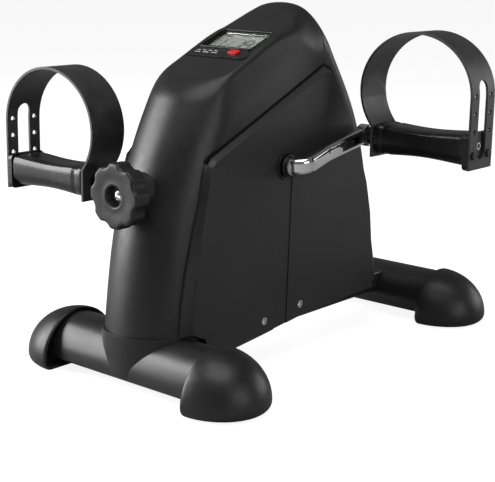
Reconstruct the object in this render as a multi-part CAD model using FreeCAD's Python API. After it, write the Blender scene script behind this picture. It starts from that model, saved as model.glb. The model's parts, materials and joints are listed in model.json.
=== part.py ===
"""Desktop and under-desk pedal exerciser: one STEP file per piece, in millimetres.

+X is the user's right, -Y faces the user (display and tension knob), +Z is up.
The origin is the middle of the footprint on the floor.
"""
import FreeCAD
import Part

import math
import os

V = FreeCAD.Vector
RIGHT, LEFT = 1, -1
SIDES = (("right", RIGHT), ("left", LEFT))
FREE = 400.0  # longer than the whole machine, for tools that cut right through

# ---- driving dimensions -------------------------------------------------------------------------
# stabiliser feet
TUBE_Y = 170.0
TUBE_HALF_DEPTH = 30.0
TUBE_BOTTOM = 9.0
TUBE_TOP = 47.0
TUBE_CORNER_Z = 15.0
TUBE_WALL = 2.0
TUBE_END = 94.0
CAP_LIP = 80.0
CAP_REACH = 50.0
CAP_HALF_DEPTH = 42.0
CAP_TOP = 50.0
CAP_WIDEST_Z = 8.5
CAP_TRIM = 0.5  # taken off the rounded foot to leave a flat one
CAP_WALL = 3.5
CAP_RECESS = 10.0

# frame inside the housing
SPINE_HALF_WIDTH = 25.0
SPINE_BOTTOM = 22.0
SPINE_TOP = 42.0
SPINE_WALL = 2.5
BOLT_R = 4.0
BOLT_HEAD_R = 7.0
BOLT_X = 15.0

# housing
SIDE_X = 44.0
WALL = 2.5
NOSE_DEPTH = 40.0
REAR_CORNER = 16.0
SADDLE_TOP = 48.0
# height, y of the nose, y of the back; above the shoulder the nose line only has to clear the deck
HOUSING_LEVELS = (
    (20.0, -200.0, 117.0),
    (90.0, -192.8, 110.5),
    (145.0, -182.3, 97.0),
    (196.0, -164.7, 81.5),
    (244.0, -140.1, 56.0),
    (285.0, -114.3, 29.5),
    (330.0, -87.3, 14.0),
)
DECK = ((-200.0, 232.0), (-130.0, 252.8), (-33.7, 290.0))
DECK_BULGE = 0.57  # how far up the deck has come half way between its last point and the crown
CROWN = (11.0, 318.0)
CROWN_BACK = (24.0, 308.0)
CROWN_ARCH_DROP = 16.8
ARCH_AT_X = 34.0
SHOULDER_LINE = ((9.0, 283.9), (-144.0, 217.0))  # where the upper sides start to lean inwards
LEAN_POINT = (38.85, -60.0, 277.0)
UNDERSIDE = ((-138.0, 27.0), (-73.0, 33.0), (-19.0, 39.0), (54.0, 42.0), (140.0, 44.0))
FRONT_NOTCH_Y = -138.0

# side covers: outline of the outer face and of the foot of its bevel
COVER_X = 50.0
COVER_FACE = (
    (13.0, 256.0), (-71.0, 219.8), (-135.0, 192.2), (-140.5, 188.0), (-143.0, 181.0),
    (-146.5, 162.0), (-152.2, 138.0), (-157.2, 102.0), (-160.5, 76.0), (-162.0, 50.0), (-148.0, 43.5),
    (-138.5, 24.0), (-73.0, 30.0), (-19.0, 36.0), (54.0, 39.0), (97.0, 40.0), (95.0, 65.0),
    (88.0, 117.0), (80.0, 147.0), (60.0, 195.0), (33.0, 236.0), (20.0, 253.5),
)
COVER_FOOT = (
    (14.0, 260.5), (-71.0, 222.9), (-136.0, 194.6), (-142.0, 189.0), (-145.5, 180.0),
    (-149.5, 162.0), (-156.5, 139.0), (-165.7, 102.0), (-170.0, 76.0), (-172.5, 50.0), (-148.0, 43.5),
    (-138.5, 24.0), (-73.0, 30.0), (-19.0, 36.0), (54.0, 39.0), (100.0, 40.0), (98.0, 65.0),
    (91.0, 118.0), (83.0, 148.0), (63.0, 196.0), (36.0, 238.0), (22.0, 257.5),
)
REAR_SEAM = (
    (14.0, 340.0), (14.0, 260.5), (22.0, 257.5), (36.0, 238.0), (63.0, 196.0), (83.0, 148.0),
    (91.0, 118.0), (98.0, 65.0), (100.0, 10.0), (150.0, 10.0), (150.0, 340.0),
)
COVER_SCREWS = ((-70.0, 42.0), (-19.0, 47.0))
COVER_SKIRT = 5.0
COVER_SKIRT_Y = -130.0
COVER_SKIRT_Z = 50.0
STRIP_HALF_WIDTH = 9.0
STRIP_LEAN = -0.03  # the strip leans back by this much for each millimetre down
SCREW_R = 2.0
SCREW_HEAD_R = 3.5

# crank
AXLE_Y = -44.0
AXLE_Z = 178.0
AXLE_R = 7.5
AXLE_END = 57.0
SLEEVE_R = 9.0
SLEEVE_HOLE_R = 10.5
GROMMET_R = 12.3
CRANK_RADIUS = 102.0
CRANK_ANGLE = 10.2  # the right arm points backwards and up by this many degrees
ARM_THICK = 9.0
ARM_HEIGHT = 15.0
ARM_X = 62.8
ARM_BEND_X = 70.0
ARM_BEND_R = 11.0
EYE_R = 10.0
SPINDLE_R = 6.0
RUNNING_FIT = 0.05
WHEEL_R = 70.0
WHEEL_HALF_WIDTH = 10.0
PLATE_X = 20.0
PLATE_THICK = 4.0
PLATE_HALF_FOOT = 62.0
PLATE_HALF_HEAD = 26.0
PLATE_HOLE_R = 18.0
PLATE_HOLE_DROP = 78.0  # below the axle
BEARING_R = 16.0
BEARING_HALF = 4.5
BEARING_CUP_WALL = 4.0
WHEEL_RIM = 9.0
WHEEL_WEB_HALF = 3.0
WHEEL_HUB_R = 17.0
WHEEL_HUB_HALF = 15.0
WHEEL_HOLES = 6
WHEEL_HOLE_R = 12.0
WHEEL_HOLE_REACH = 38.0
MAGNET_R = 4.0
MAGNET_DROP = 55.0  # below the axle, at rest

# pedals
PEDAL_IN = 84.0
PEDAL_OUT = 176.5
PEDAL_HALF_DEPTH = 18.6
PEDAL_END_HALF_HEIGHT = 14.5
PEDAL_MID_HALF_HEIGHT = 12.3
END_CAP_OUT = 181.0
STRAP_HALF_WIDTH = 19.0
STRAP_THICK = 2.2
# the strap's loop is an ellipse, its height measured from the pedal's axis, with a straight tab at each end
LOOP_X = 125.8
LOOP_Z = 45.0
LOOP_HALF_WIDTH = 56.5
LOOP_HALF_HEIGHT = 52.0
INNER_TAB_X = 82.2
INNER_TAB_LOW = -16.0
OUTER_TAB_X = LOOP_X + LOOP_HALF_WIDTH
OUTER_TAB_LOW = -16.5
STRAP_SLOT_HALF = 7.0
STRAP_SLOT = (-1.0, 53.0)
STRAP_HOLES = (16.0, 31.5, 47.0)
STRAP_LEG_Y = 12.6
PEG_Z = -4.0
PEG_R = 2.4

# tension knob and brake
KNOB_Z = 166.0
KNOB_R = 27.2
KNOB_FRONT = -205.0
KNOB_BACK = -190.0
KNOB_SKIRT_BACK = -188.8
KNOB_SKIRT_R = 19.0
KNOB_RECESS_R = 8.5
KNOB_RECESS = 8.0
KNOB_LOBES = 8
SCALLOP_R = 9.0
SCALLOP_REACH = 32.4
ROD_R = 4.0
ROD_END = -133.0
ROD_SOCKET_END = -127.5
BUSHING_R = 7.0
BOSS_FRONT_R, BOSS_BACK_R, BOSS_LONG = 13.0, 16.0, 18.0
COLLAR_R = 8.0
COLLAR_FRONT = -169.0
COLLAR_WIDE = 4.6
BRAKE_GAP = 3.5
FELT_THICK = 3.0
SHOE_THICK = 5.0
SHOE_HALF_ANGLE = 14.0
CARRIAGE_HALF = 8.0
CARRIAGE_BACK = -146.0
GUIDE_FRONT, GUIDE_BACK = -151.0, -130.0
GUIDE_POST_Y = -133.0

# meter, in its own frame: u across, v up its slope, w out of its face
METER_LOW = V(0, -85.7, 271.5)
METER_TILT = 21.5
METER_HALF = 33.0
METER_LONG = 55.5
METER_DEEP = 15.0
METER_CORNER = 5.0
SCREEN = (-26.3, 26.3, 19.0, 48.0)
BUTTON = (10.5, 21.0, 6.5, 13.0)
SCREEN_FRAME_OUT, SCREEN_FRAME_IN, SCREEN_FRAME_PROUD = 4.0, 2.0, 1.4
# the layers inside, from the back to the front of each
LENS_W = (-1.8, -0.8)
LCD_W = (-4.4, -3.2)
BOARD_W = (-8.0, -6.4)
CELL_W = (-12.6, -8.2)
CELL_R = 5.8
CELL_V = 14.0
BUTTON_PROUD = 1.6
CLIP = (32.5, 34.6, 12.0, 20.0, -4.5, -1.5)  # snap tab on the right-hand side


# ---- shape helpers ------------------------------------------------------------------------------
def box(x0, x1, y0, y1, z0, z1):
    return Part.makeBox(x1 - x0, y1 - y0, z1 - z0, V(x0, y0, z0))


def rod_x(radius, x0, x1, y, z):
    return Part.makeCylinder(radius, x1 - x0, V(x0, y, z), V(1, 0, 0))


def rod_y(radius, y0, y1, x, z):
    return Part.makeCylinder(radius, y1 - y0, V(x, y0, z), V(0, 1, 0))


def rod_z(radius, z0, z1, x, y):
    return Part.makeCylinder(radius, z1 - z0, V(x, y, z0), V(0, 0, 1))


def closed(points):
    return Part.makePolygon(list(points) + [points[0]])


def prism_x(outline, x0, x1):
    """A solid whose (y, z) outline runs from x0 to x1."""
    face = Part.Face(closed([V(x0, y, z) for y, z in outline]))
    return face.extrude(V(x1 - x0, 0, 0))


def sided(shape, side):
    """The shape as made for the right, or its mirror image for the left."""
    if side == RIGHT:
        return shape
    return shape.mirror(V(0, 0, 0), V(1, 0, 0))


def group(shapes):
    return Part.makeCompound(shapes)


def arc_through(a, middle, b):
    return Part.Arc(a, middle, b).toShape()


def half_ellipse(start, tip, end):
    """Half an ellipse from start through tip to end; start and end lie opposite each other."""
    centre = (start + end) * 0.5
    if (end - centre).Length >= (tip - centre).Length:
        return Part.ArcOfEllipse(Part.Ellipse(end, tip, centre), 0, math.pi).toShape()
    return Part.ArcOfEllipse(Part.Ellipse(tip, end, centre), -math.pi / 2, math.pi / 2).toShape()


# ---- stabiliser feet ----------------------------------------------------------------------------
def foot_section(x, half_depth, bottom, corner_z, top):
    """Half-round section with a flat bottom, in the plane x, centred on y = 0."""
    corner = 3.0
    arch = half_ellipse(V(x, -half_depth, corner_z), V(x, 0, top), V(x, half_depth, corner_z))
    base = [
        V(x, half_depth, corner_z), V(x, half_depth, bottom + corner), V(x, half_depth - corner, bottom),
        V(x, corner - half_depth, bottom), V(x, -half_depth, bottom + corner), V(x, -half_depth, corner_z),
    ]
    lines = [Part.makeLine(a, b) for a, b in zip(base, base[1:])]
    return Part.Face(Part.Wire(Part.__sortEdges__([arch] + lines)))


def foot_bar(x0, x1, grow=0.0):
    section = foot_section(x0, TUBE_HALF_DEPTH + grow, TUBE_BOTTOM - grow, TUBE_CORNER_Z, TUBE_TOP + grow)
    return section.extrude(V(x1 - x0, 0, 0))


def make_tube(y):
    tube = foot_bar(-TUBE_END, TUBE_END).cut(foot_bar(-FREE, FREE, -TUBE_WALL))
    for x in (-BOLT_X, BOLT_X):
        tube = tube.cut(rod_z(BOLT_R + 0.3, 0, TUBE_BOTTOM + 5, x, 0))
    tube.translate(V(0, y, 0))
    return tube


def cap_profile(shrink):
    """Right half of the cap's front view as a closed wire in the xz plane."""
    wide = CAP_HALF_DEPTH - shrink
    top, low = CAP_TOP - shrink, shrink - CAP_TRIM
    rise = top - CAP_WIDEST_Z
    lean = math.sqrt(0.5)
    rounding = CAP_WIDEST_Z - low
    foot = wide - rounding
    bulge = V(foot + rounding * lean, 0, CAP_WIDEST_Z - rounding * lean)
    return Part.Wire([
        Part.makeLine(V(0, 0, top), V(0, 0, low)),
        Part.makeLine(V(0, 0, low), V(foot, 0, low)),
        arc_through(V(foot, 0, low), bulge, V(wide, 0, CAP_WIDEST_Z)),
        arc_through(V(wide, 0, CAP_WIDEST_Z), V(wide * lean, 0, CAP_WIDEST_Z + rise * lean), V(0, 0, top)),
    ])


def cap_dome(shrink):
    """Quarter of an ellipsoid with a rounded foot: a turned half, stretched along the tube."""
    dome = Part.Face(cap_profile(shrink)).revolve(V(0, 0, 0), V(0, 0, 1), 180)
    dome.rotate(V(0, 0, 0), V(0, 0, 1), -90)
    stretch = FreeCAD.Matrix()
    stretch.A11 = (CAP_REACH - shrink) / (CAP_HALF_DEPTH - shrink)
    dome = dome.transformGeometry(stretch)
    dome.translate(V(CAP_LIP, 0, 0))
    return dome


def make_cap(y):
    """End cap for the right-hand end of a tube: a flared dome, hollow round the tube at its mouth."""
    cap = cap_dome(0.0)
    mouth = cap_dome(CAP_WALL).common(box(CAP_LIP - 1, CAP_LIP + CAP_RECESS, -FREE, FREE, -1, FREE))
    below = box(0, FREE, -FREE, FREE, -FREE, 0)
    cap = cap.cut(mouth).cut(foot_bar(CAP_LIP - 1, TUBE_END, 0.1)).cut(below)
    cap.translate(V(0, y, 0))
    return cap


def make_stabilizer_bolts():
    bolts = []
    for y in (-TUBE_Y, TUBE_Y):
        for x in (-BOLT_X, BOLT_X):
            shank = rod_z(BOLT_R, TUBE_BOTTOM - 1, SPINE_BOTTOM + 6, x, y)
            head = rod_z(BOLT_HEAD_R, TUBE_BOTTOM - 5, TUBE_BOTTOM, x, y)
            bolts.append(shank.fuse(head).removeSplitter())
    return group(bolts)


# ---- frame --------------------------------------------------------------------------------------
def make_spine_frame():
    """Box section welded between the two tubes, its ends cut to their round backs."""
    wall, reach = SPINE_WALL, TUBE_Y
    outer = box(-SPINE_HALF_WIDTH, SPINE_HALF_WIDTH, -reach, reach, SPINE_BOTTOM, SPINE_TOP)
    along = [e for e in outer.Edges if abs(e.tangentAt(e.FirstParameter).y) > 0.9]
    outer = outer.makeFillet(3.0, along)
    inner = box(
        wall - SPINE_HALF_WIDTH, SPINE_HALF_WIDTH - wall, -reach, reach,
        SPINE_BOTTOM + wall, SPINE_TOP - wall,
    )
    feet = []
    for y in (-TUBE_Y, TUBE_Y):
        foot = foot_bar(-FREE, FREE)
        foot.translate(V(0, y, 0))
        feet.append(foot)
    return outer.cut([inner] + feet)


def make_tube_blocks():
    """Threaded blocks inside the tubes that take the stabiliser bolts."""
    blocks = []
    for y in (-TUBE_Y, TUBE_Y):
        block = box(-22, 22, y - 12, y + 12, TUBE_BOTTOM + TUBE_WALL, SPINE_BOTTOM + 8)
        for x in (-BOLT_X, BOLT_X):
            block = block.cut(rod_z(BOLT_R, 0, FREE, x, y))
        blocks.append(block)
    return group(blocks)


def make_crank_bracket():
    """Two plates on the spine, each with a cup for a crank bearing."""
    foot, head, shoulder = PLATE_HALF_FOOT, PLATE_HALF_HEAD, 8.0
    top = AXLE_Z + head - shoulder / 2
    outline = (
        (AXLE_Y - foot, SPINE_TOP), (AXLE_Y + foot, SPINE_TOP),
        (AXLE_Y + head, AXLE_Z), (AXLE_Y + head - shoulder, top),
        (AXLE_Y - head + shoulder, top), (AXLE_Y - head, AXLE_Z),
    )
    cup = rod_x(BEARING_R + BEARING_CUP_WALL, PLATE_X - 2, PLATE_X + 2 * BEARING_HALF, AXLE_Y, AXLE_Z)
    plate = prism_x(outline, PLATE_X, PLATE_X + PLATE_THICK).fuse(cup).removeSplitter()
    plate = plate.cut(rod_x(BEARING_R, 0, FREE, AXLE_Y, AXLE_Z))
    plate = plate.cut(rod_x(PLATE_HOLE_R, 0, FREE, AXLE_Y, AXLE_Z - PLATE_HOLE_DROP))
    return group([sided(plate, side) for side in (RIGHT, LEFT)])


def make_crank_bearings():
    """Shielded ball bearings, each with a shallow groove between its two rings."""
    middle = PLATE_X + BEARING_HALF - 1.0
    outer_ring, inner_ring, groove_deep = 2.5, 2.2, 0.8
    ring = rod_x(BEARING_R, middle - BEARING_HALF, middle + BEARING_HALF, AXLE_Y, AXLE_Z)
    ring = ring.cut(rod_x(AXLE_R + RUNNING_FIT, 0, FREE, AXLE_Y, AXLE_Z))
    groove = rod_x(BEARING_R - outer_ring, middle + BEARING_HALF - groove_deep, FREE, AXLE_Y, AXLE_Z)
    groove = groove.cut(rod_x(AXLE_R + inner_ring, 0, FREE, AXLE_Y, AXLE_Z))
    return group([sided(ring.cut(groove), side) for side in (RIGHT, LEFT)])


# ---- housing ------------------------------------------------------------------------------------
def plan_wire(z, nose_y, back_y, inset):
    """Horizontal section of the housing: half-elliptical nose, straight sides, rounded back."""
    half = SIDE_X - inset
    nose, back = nose_y + inset, back_y - inset
    shoulder = nose_y + NOSE_DEPTH
    corner = REAR_CORNER - inset
    bulge = corner * (1 - math.sqrt(0.5))
    start, end = V(-half, shoulder, z), V(half, shoulder, z)
    return Part.Wire([
        half_ellipse(start, V(0, nose, z), end),
        Part.makeLine(end, V(half, back - corner, z)),
        arc_through(V(half, back - corner, z), V(half - bulge, back - bulge, z), V(half - corner, back, z)),
        Part.makeLine(V(half - corner, back, z), V(corner - half, back, z)),
        arc_through(V(corner - half, back, z), V(bulge - half, back - bulge, z), V(-half, back - corner, z)),
        Part.makeLine(V(-half, back - corner, z), start),
    ])


def side_profile(inset):
    """Prism of the side view, with the deck, the crown and the stepped underside."""
    x = -FREE
    (y0, z0), (y1, z1), (y2, z2) = DECK
    drop = inset / math.cos(math.atan2(z2 - z1, y2 - y1))
    low, bend, high = V(x, y0, z0 - drop), V(x, y1, z1 - drop), V(x, y2, z2 - drop)
    crown = V(x, CROWN[0], CROWN[1] - inset)
    back = V(x, CROWN_BACK[0] - inset, CROWN_BACK[1] - inset)
    rise = V(x, (high.y + crown.y) / 2, high.z * (1 - DECK_BULGE) + crown.z * DECK_BULGE)
    over = V(x, (crown.y + back.y) / 2 + 1.0, crown.z * 0.66 + back.z * 0.34)
    behind = V(x, 140, back.z - 170)
    edges = [
        Part.makeLine(low, bend),
        Part.makeLine(bend, high),
        arc_through(high, rise, crown),
        arc_through(crown, over, back),
        Part.makeLine(back, behind),
        Part.makeLine(behind, V(x, 140, UNDERSIDE[-1][1] + inset)),
    ]
    under = [V(x, y, z + inset) for y, z in reversed(UNDERSIDE)]
    under += [V(x, FRONT_NOTCH_Y, SADDLE_TOP + inset), V(x, low.y, SADDLE_TOP + inset)]
    for a, b in zip(under, under[1:]):
        edges.append(Part.makeLine(a, b))
    edges.append(Part.makeLine(under[-1], low))
    return Part.Face(Part.Wire(edges)).extrude(V(2 * FREE, 0, 0))


def crown_arch(inset):
    """Prism of the front view: a flat arch that only the crown reaches."""
    top, y = CROWN[1] - inset, -FREE
    edge = SIDE_X + 10
    drop = CROWN_ARCH_DROP * (edge / ARCH_AT_X) ** 2
    arch = arc_through(V(-edge, y, top - drop), V(0, y, top), V(edge, y, top - drop))
    sides = [
        Part.makeLine(V(edge, y, top - drop), V(edge, y, 0)),
        Part.makeLine(V(edge, y, 0), V(-edge, y, 0)),
        Part.makeLine(V(-edge, y, 0), V(-edge, y, top - drop)),
    ]
    return Part.Face(Part.Wire([arch] + sides)).extrude(V(0, 2 * FREE, 0))


def lean_cutter(inset):
    """What the leaning upper sides take off the right-hand side."""
    (y0, z0), (y1, z1) = SHOULDER_LINE
    a, b, c = V(SIDE_X, y0, z0), V(SIDE_X, y1, z1), V(*LEAN_POINT)
    normal = (b - a).cross(c - a).normalize()
    if normal.x < 0:
        normal = normal * -1
    slab = Part.makeBox(2 * FREE, 2 * FREE, 60, V(-FREE, -FREE, 0))
    slab.Placement = FreeCAD.Placement(a - normal * inset, FreeCAD.Rotation(V(0, 0, 1), normal))
    return slab


def housing_solid(inset):
    sections = [plan_wire(z, nose, back, inset) for z, nose, back in HOUSING_LEVELS]
    body = Part.makeLoft(sections, True, False)
    body = body.common(side_profile(inset)).common(crown_arch(inset))
    for side in (RIGHT, LEFT):
        body = body.cut(sided(lean_cutter(inset), side))
    return body.Solids[0]


def meter_frame_matrix():
    """Placement of the meter's own frame."""
    return FreeCAD.Placement(METER_LOW, FreeCAD.Rotation(V(1, 0, 0), METER_TILT))


def in_meter(shape):
    placed = shape.copy()
    placed.Placement = meter_frame_matrix().multiply(placed.Placement)
    return placed


def rounded_block(u0, u1, v0, v1, w0, w1, corner):
    """Block in the meter's frame with rounded upright edges."""
    block = box(u0, u1, v0, v1, w0, w1)
    upright = [e for e in block.Edges if abs(e.tangentAt(e.FirstParameter).z) > 0.9]
    return block.makeFillet(corner, upright)


def meter_block(grow=0.0, top=0.0, bottom=-METER_DEEP):
    return rounded_block(
        -METER_HALF - grow, METER_HALF + grow, -grow, METER_LONG + grow, bottom, top, METER_CORNER
    )


def make_housing(outer):
    """Front and rear mouldings of the housing, parted along the covers' rear edges."""
    shell = outer.cut(housing_solid(WALL))
    openings = [
        box(-SPINE_HALF_WIDTH - 0.5, SPINE_HALF_WIDTH + 0.5, -150, 150, 0, SPINE_TOP + 0.5),
        box(-SPINE_HALF_WIDTH - 0.5, SPINE_HALF_WIDTH + 0.5, FRONT_NOTCH_Y, 90, 0, SADDLE_TOP),
        rod_y(BUSHING_R, -FREE, -150, 0, KNOB_Z),
        rod_x(SLEEVE_HOLE_R, -FREE, FREE, AXLE_Y, AXLE_Z),
        in_meter(meter_block(0.0, 30.0)),
        in_meter(box(METER_HALF, CLIP[1] + 0.4, CLIP[2] - 0.4, CLIP[3] + 0.4, CLIP[4] - 0.4, 30)),
    ]
    for y, z in COVER_SCREWS:
        openings.append(rod_x(SCREW_R, -FREE, FREE, y, z))
    for opening in openings:
        shell = shell.cut(opening)
    seam = prism_x(REAR_SEAM, -FREE, FREE)
    return shell.cut(seam), shell.common(seam)


def make_front_saddle():
    """Foot of the column: the nose's plan carried down round the front tube."""
    proud = 1.2
    nose, floor_gap = HOUSING_LEVELS[0][1] - proud, 4.0
    plan = plan_wire(TUBE_BOTTOM + floor_gap, nose, 0.0, 0.0)
    block = Part.Face(plan).extrude(V(0, 0, SADDLE_TOP - TUBE_BOTTOM - floor_gap))
    channel = foot_bar(-FREE, FREE, 0.05)
    channel.translate(V(0, -TUBE_Y, 0))
    behind = box(-FREE, FREE, FRONT_NOTCH_Y, FREE, 0, FREE)
    spine = box(-SPINE_HALF_WIDTH - 0.5, SPINE_HALF_WIDTH + 0.5, -TUBE_Y, 0, 0, SPINE_TOP + 0.5)
    return block.cut([channel, behind, spine])


def strip_outline(grow):
    """The strip below the axle, from the axle hole to the cover's lower edge."""
    half = STRIP_HALF_WIDTH + grow
    top, bottom = AXLE_Z, 20.0
    shift = STRIP_LEAN * (top - bottom)
    low = AXLE_Y + shift
    return ((AXLE_Y - half, top), (AXLE_Y + half, top), (low + half, bottom), (low - half, bottom))


def make_side_cover(side, housing):
    """Raised side panel and its separate strip; a skirt closes the gap to the nose's curve."""
    face = closed([V(COVER_X, y, z) for y, z in COVER_FACE])
    foot = closed([V(SIDE_X, y, z) for y, z in COVER_FOOT])
    cover = Part.makeLoft([foot, face], True, True)
    skirt = prism_x(COVER_FOOT, SIDE_X - COVER_SKIRT, SIDE_X).cut(housing)
    skirt = skirt.common(box(0, FREE, -FREE, COVER_SKIRT_Y, COVER_SKIRT_Z, FREE))
    cover = cover.fuse(skirt).removeSplitter()
    boss = rod_x(SLEEVE_HOLE_R, 0, FREE, AXLE_Y, AXLE_Z)
    strip = cover.common(prism_x(strip_outline(0.0), 0, COVER_X - 0.6)).cut(boss)
    cover = cover.cut(boss).cut(prism_x(strip_outline(0.0), 0, FREE))
    for y, z in COVER_SCREWS:
        cover = cover.cut(rod_x(SCREW_R, 0, FREE, y, z))
        cover = cover.cut(rod_x(SCREW_HEAD_R + 0.3, COVER_X - 2.4, FREE, y, z))
    return sided(cover, side), sided(strip, side)


def make_cover_screws(side):
    screws = []
    for y, z in COVER_SCREWS:
        shank = rod_x(SCREW_R, SIDE_X - WALL - 4, COVER_X - 2.4, y, z)
        head = rod_x(SCREW_HEAD_R, COVER_X - 2.4, COVER_X - 0.2, y, z)
        head = head.cut(box(COVER_X - 1.2, COVER_X, y - 2.4, y + 2.4, z - 0.5, z + 0.5))
        head = head.cut(box(COVER_X - 1.2, COVER_X, y - 0.5, y + 0.5, z - 2.4, z + 2.4))
        screws.append(sided(shank.fuse(head).removeSplitter(), side))
    return group(screws)


def make_axle_grommet(side):
    """Ring round the axle hole, proud of the cover."""
    ring = rod_x(GROMMET_R, COVER_X, COVER_X + 1.2, AXLE_Y, AXLE_Z)
    ring = ring.fuse(rod_x(SLEEVE_HOLE_R, SIDE_X - WALL, COVER_X + 1.2, AXLE_Y, AXLE_Z)).removeSplitter()
    return sided(ring.cut(rod_x(SLEEVE_R + 0.6, 0, FREE, AXLE_Y, AXLE_Z)), side)


# ---- crank --------------------------------------------------------------------------------------
def make_crank_axle():
    return rod_x(AXLE_R, -AXLE_END, AXLE_END, AXLE_Y, AXLE_Z)


def make_axle_sleeve(side):
    sleeve = rod_x(SLEEVE_R, SIDE_X - 6, AXLE_END, AXLE_Y, AXLE_Z)
    collar = rod_x(SLEEVE_R + 1.2, COVER_X + 2.2, COVER_X + 4.4, AXLE_Y, AXLE_Z)
    sleeve = sleeve.fuse(collar).removeSplitter()
    return sided(sleeve.cut(rod_x(AXLE_R, 0, FREE, AXLE_Y, AXLE_Z)), side)


def oval_section(point, thick_axis, tall_axis):
    """Flattened oval of the arm: straight flanks with round top and bottom."""
    half, radius = (ARM_HEIGHT - ARM_THICK) / 2, ARM_THICK / 2
    a = point + thick_axis * radius + tall_axis * half
    b = point - thick_axis * radius + tall_axis * half
    c = point - thick_axis * radius - tall_axis * half
    d = point + thick_axis * radius - tall_axis * half
    top = point + tall_axis * (half + radius)
    low = point - tall_axis * (half + radius)
    return Part.Face(Part.Wire([
        arc_through(a, top, b), Part.makeLine(b, c), arc_through(c, low, d), Part.makeLine(d, a),
    ]))


def make_arm():
    """Right-hand arm in the flat: it leaves the axle along +X, bends, and runs along +Y."""
    route = [V(AXLE_END, 0, 0), V(ARM_BEND_X, 0, 0), V(ARM_X, 44, 0), V(ARM_X, CRANK_RADIUS, 0)]
    radii = (ARM_BEND_R, 60.0)
    section = oval_section(route[0], V(0, 1, 0), V(0, 0, 1))
    at = route[0]
    pieces = []
    for before, corner, after, radius in zip(route, route[1:], route[2:], radii):
        ahead, onward = (corner - before).normalize(), (after - corner).normalize()
        turn = ahead.getAngle(onward)
        bend_start = corner - ahead * (radius * math.tan(turn / 2))
        pieces.append(section.extrude(bend_start - at))
        section.translate(bend_start - at)
        up = ahead.cross(onward).normalize()
        centre = bend_start + up.cross(ahead) * radius
        pieces.append(section.revolve(centre, up, math.degrees(turn)))
        section.rotate(centre, up, math.degrees(turn))
        at = corner + onward * (radius * math.tan(turn / 2))
    pieces.append(section.extrude(route[-1] - at))
    arm = pieces[0].multiFuse(pieces[1:])
    eye = rod_x(EYE_R, ARM_X - ARM_THICK / 2 - 0.6, ARM_X + ARM_THICK / 2, CRANK_RADIUS, 0)
    arm = arm.fuse(eye).removeSplitter()
    return arm.cut(rod_x(SPINDLE_R, 0, FREE, CRANK_RADIUS, 0))


def on_crank(shape, side):
    """Turn a piece made along +Y into its place on the crank; the left arm points the other way."""
    placed = sided(shape, side)
    placed.rotate(V(0, 0, 0), V(1, 0, 0), CRANK_ANGLE if side == RIGHT else 180 + CRANK_ANGLE)
    placed.translate(V(0, AXLE_Y, AXLE_Z))
    return placed


def pedal_axis(side):
    """The y and z of a pedal's axis."""
    turn = math.radians(CRANK_ANGLE)
    return AXLE_Y + side * CRANK_RADIUS * math.cos(turn), AXLE_Z + side * CRANK_RADIUS * math.sin(turn)


def make_pedal_spindle():
    shaft = rod_x(SPINDLE_R, ARM_X - ARM_THICK / 2 - 0.6, PEDAL_OUT - 6, 0, 0)
    shoulder = rod_x(8.0, ARM_X + ARM_THICK / 2, ARM_X + ARM_THICK / 2 + 3, 0, 0)
    flats = rod_x(7.0, ARM_X + ARM_THICK / 2 + 3, PEDAL_IN - 4, 0, 0)
    return shaft.fuse(shoulder).fuse(flats).removeSplitter()


def make_resistance_wheel():
    """Wheel on the axle that the brake presses on: hub, drilled web and a broad rim."""
    wheel = rod_x(WHEEL_R, -WHEEL_HALF_WIDTH, WHEEL_HALF_WIDTH, AXLE_Y, AXLE_Z)
    for side in (RIGHT, LEFT):
        dish = rod_x(WHEEL_R - WHEEL_RIM, WHEEL_WEB_HALF, FREE, AXLE_Y, AXLE_Z)
        wheel = wheel.cut(sided(dish, side))
    wheel = wheel.fuse(rod_x(WHEEL_HUB_R, -WHEEL_HUB_HALF, WHEEL_HUB_HALF, AXLE_Y, AXLE_Z)).removeSplitter()
    for k in range(WHEEL_HOLES):
        angle = 2 * math.pi * (k + 0.5) / WHEEL_HOLES
        y, z = AXLE_Y + WHEEL_HOLE_REACH * math.cos(angle), AXLE_Z + WHEEL_HOLE_REACH * math.sin(angle)
        wheel = wheel.cut(rod_x(WHEEL_HOLE_R, -FREE, FREE, y, z))
    return wheel.cut(rod_x(AXLE_R, -FREE, FREE, AXLE_Y, AXLE_Z))


def make_wheel_magnet():
    magnet_thick = 4.0
    return rod_x(MAGNET_R, WHEEL_WEB_HALF, WHEEL_WEB_HALF + magnet_thick, AXLE_Y, AXLE_Z - MAGNET_DROP)


def make_reed_sensor():
    """Pick-up on the right-hand plate, facing the magnet on the wheel."""
    half_deep, half_high, inner_x = 6.0, 4.5, WHEEL_HALF_WIDTH + 1.0
    middle = AXLE_Z - MAGNET_DROP
    return box(
        inner_x, PLATE_X, AXLE_Y - half_deep, AXLE_Y + half_deep, middle - half_high, middle + half_high,
    )


# ---- pedals -------------------------------------------------------------------------------------
def pedal_section(x, half_depth, half_height):
    """Section of the pedal: a block with its corners cut off."""
    cut = 5.0
    points = []
    for sy, sz in ((1, 1), (-1, 1), (-1, -1), (1, -1)):
        a = V(x, sy * half_depth, sz * (half_height - cut))
        b = V(x, sy * (half_depth - cut), sz * half_height)
        points += [a, b] if sy * sz > 0 else [b, a]
    return closed(points)


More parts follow.
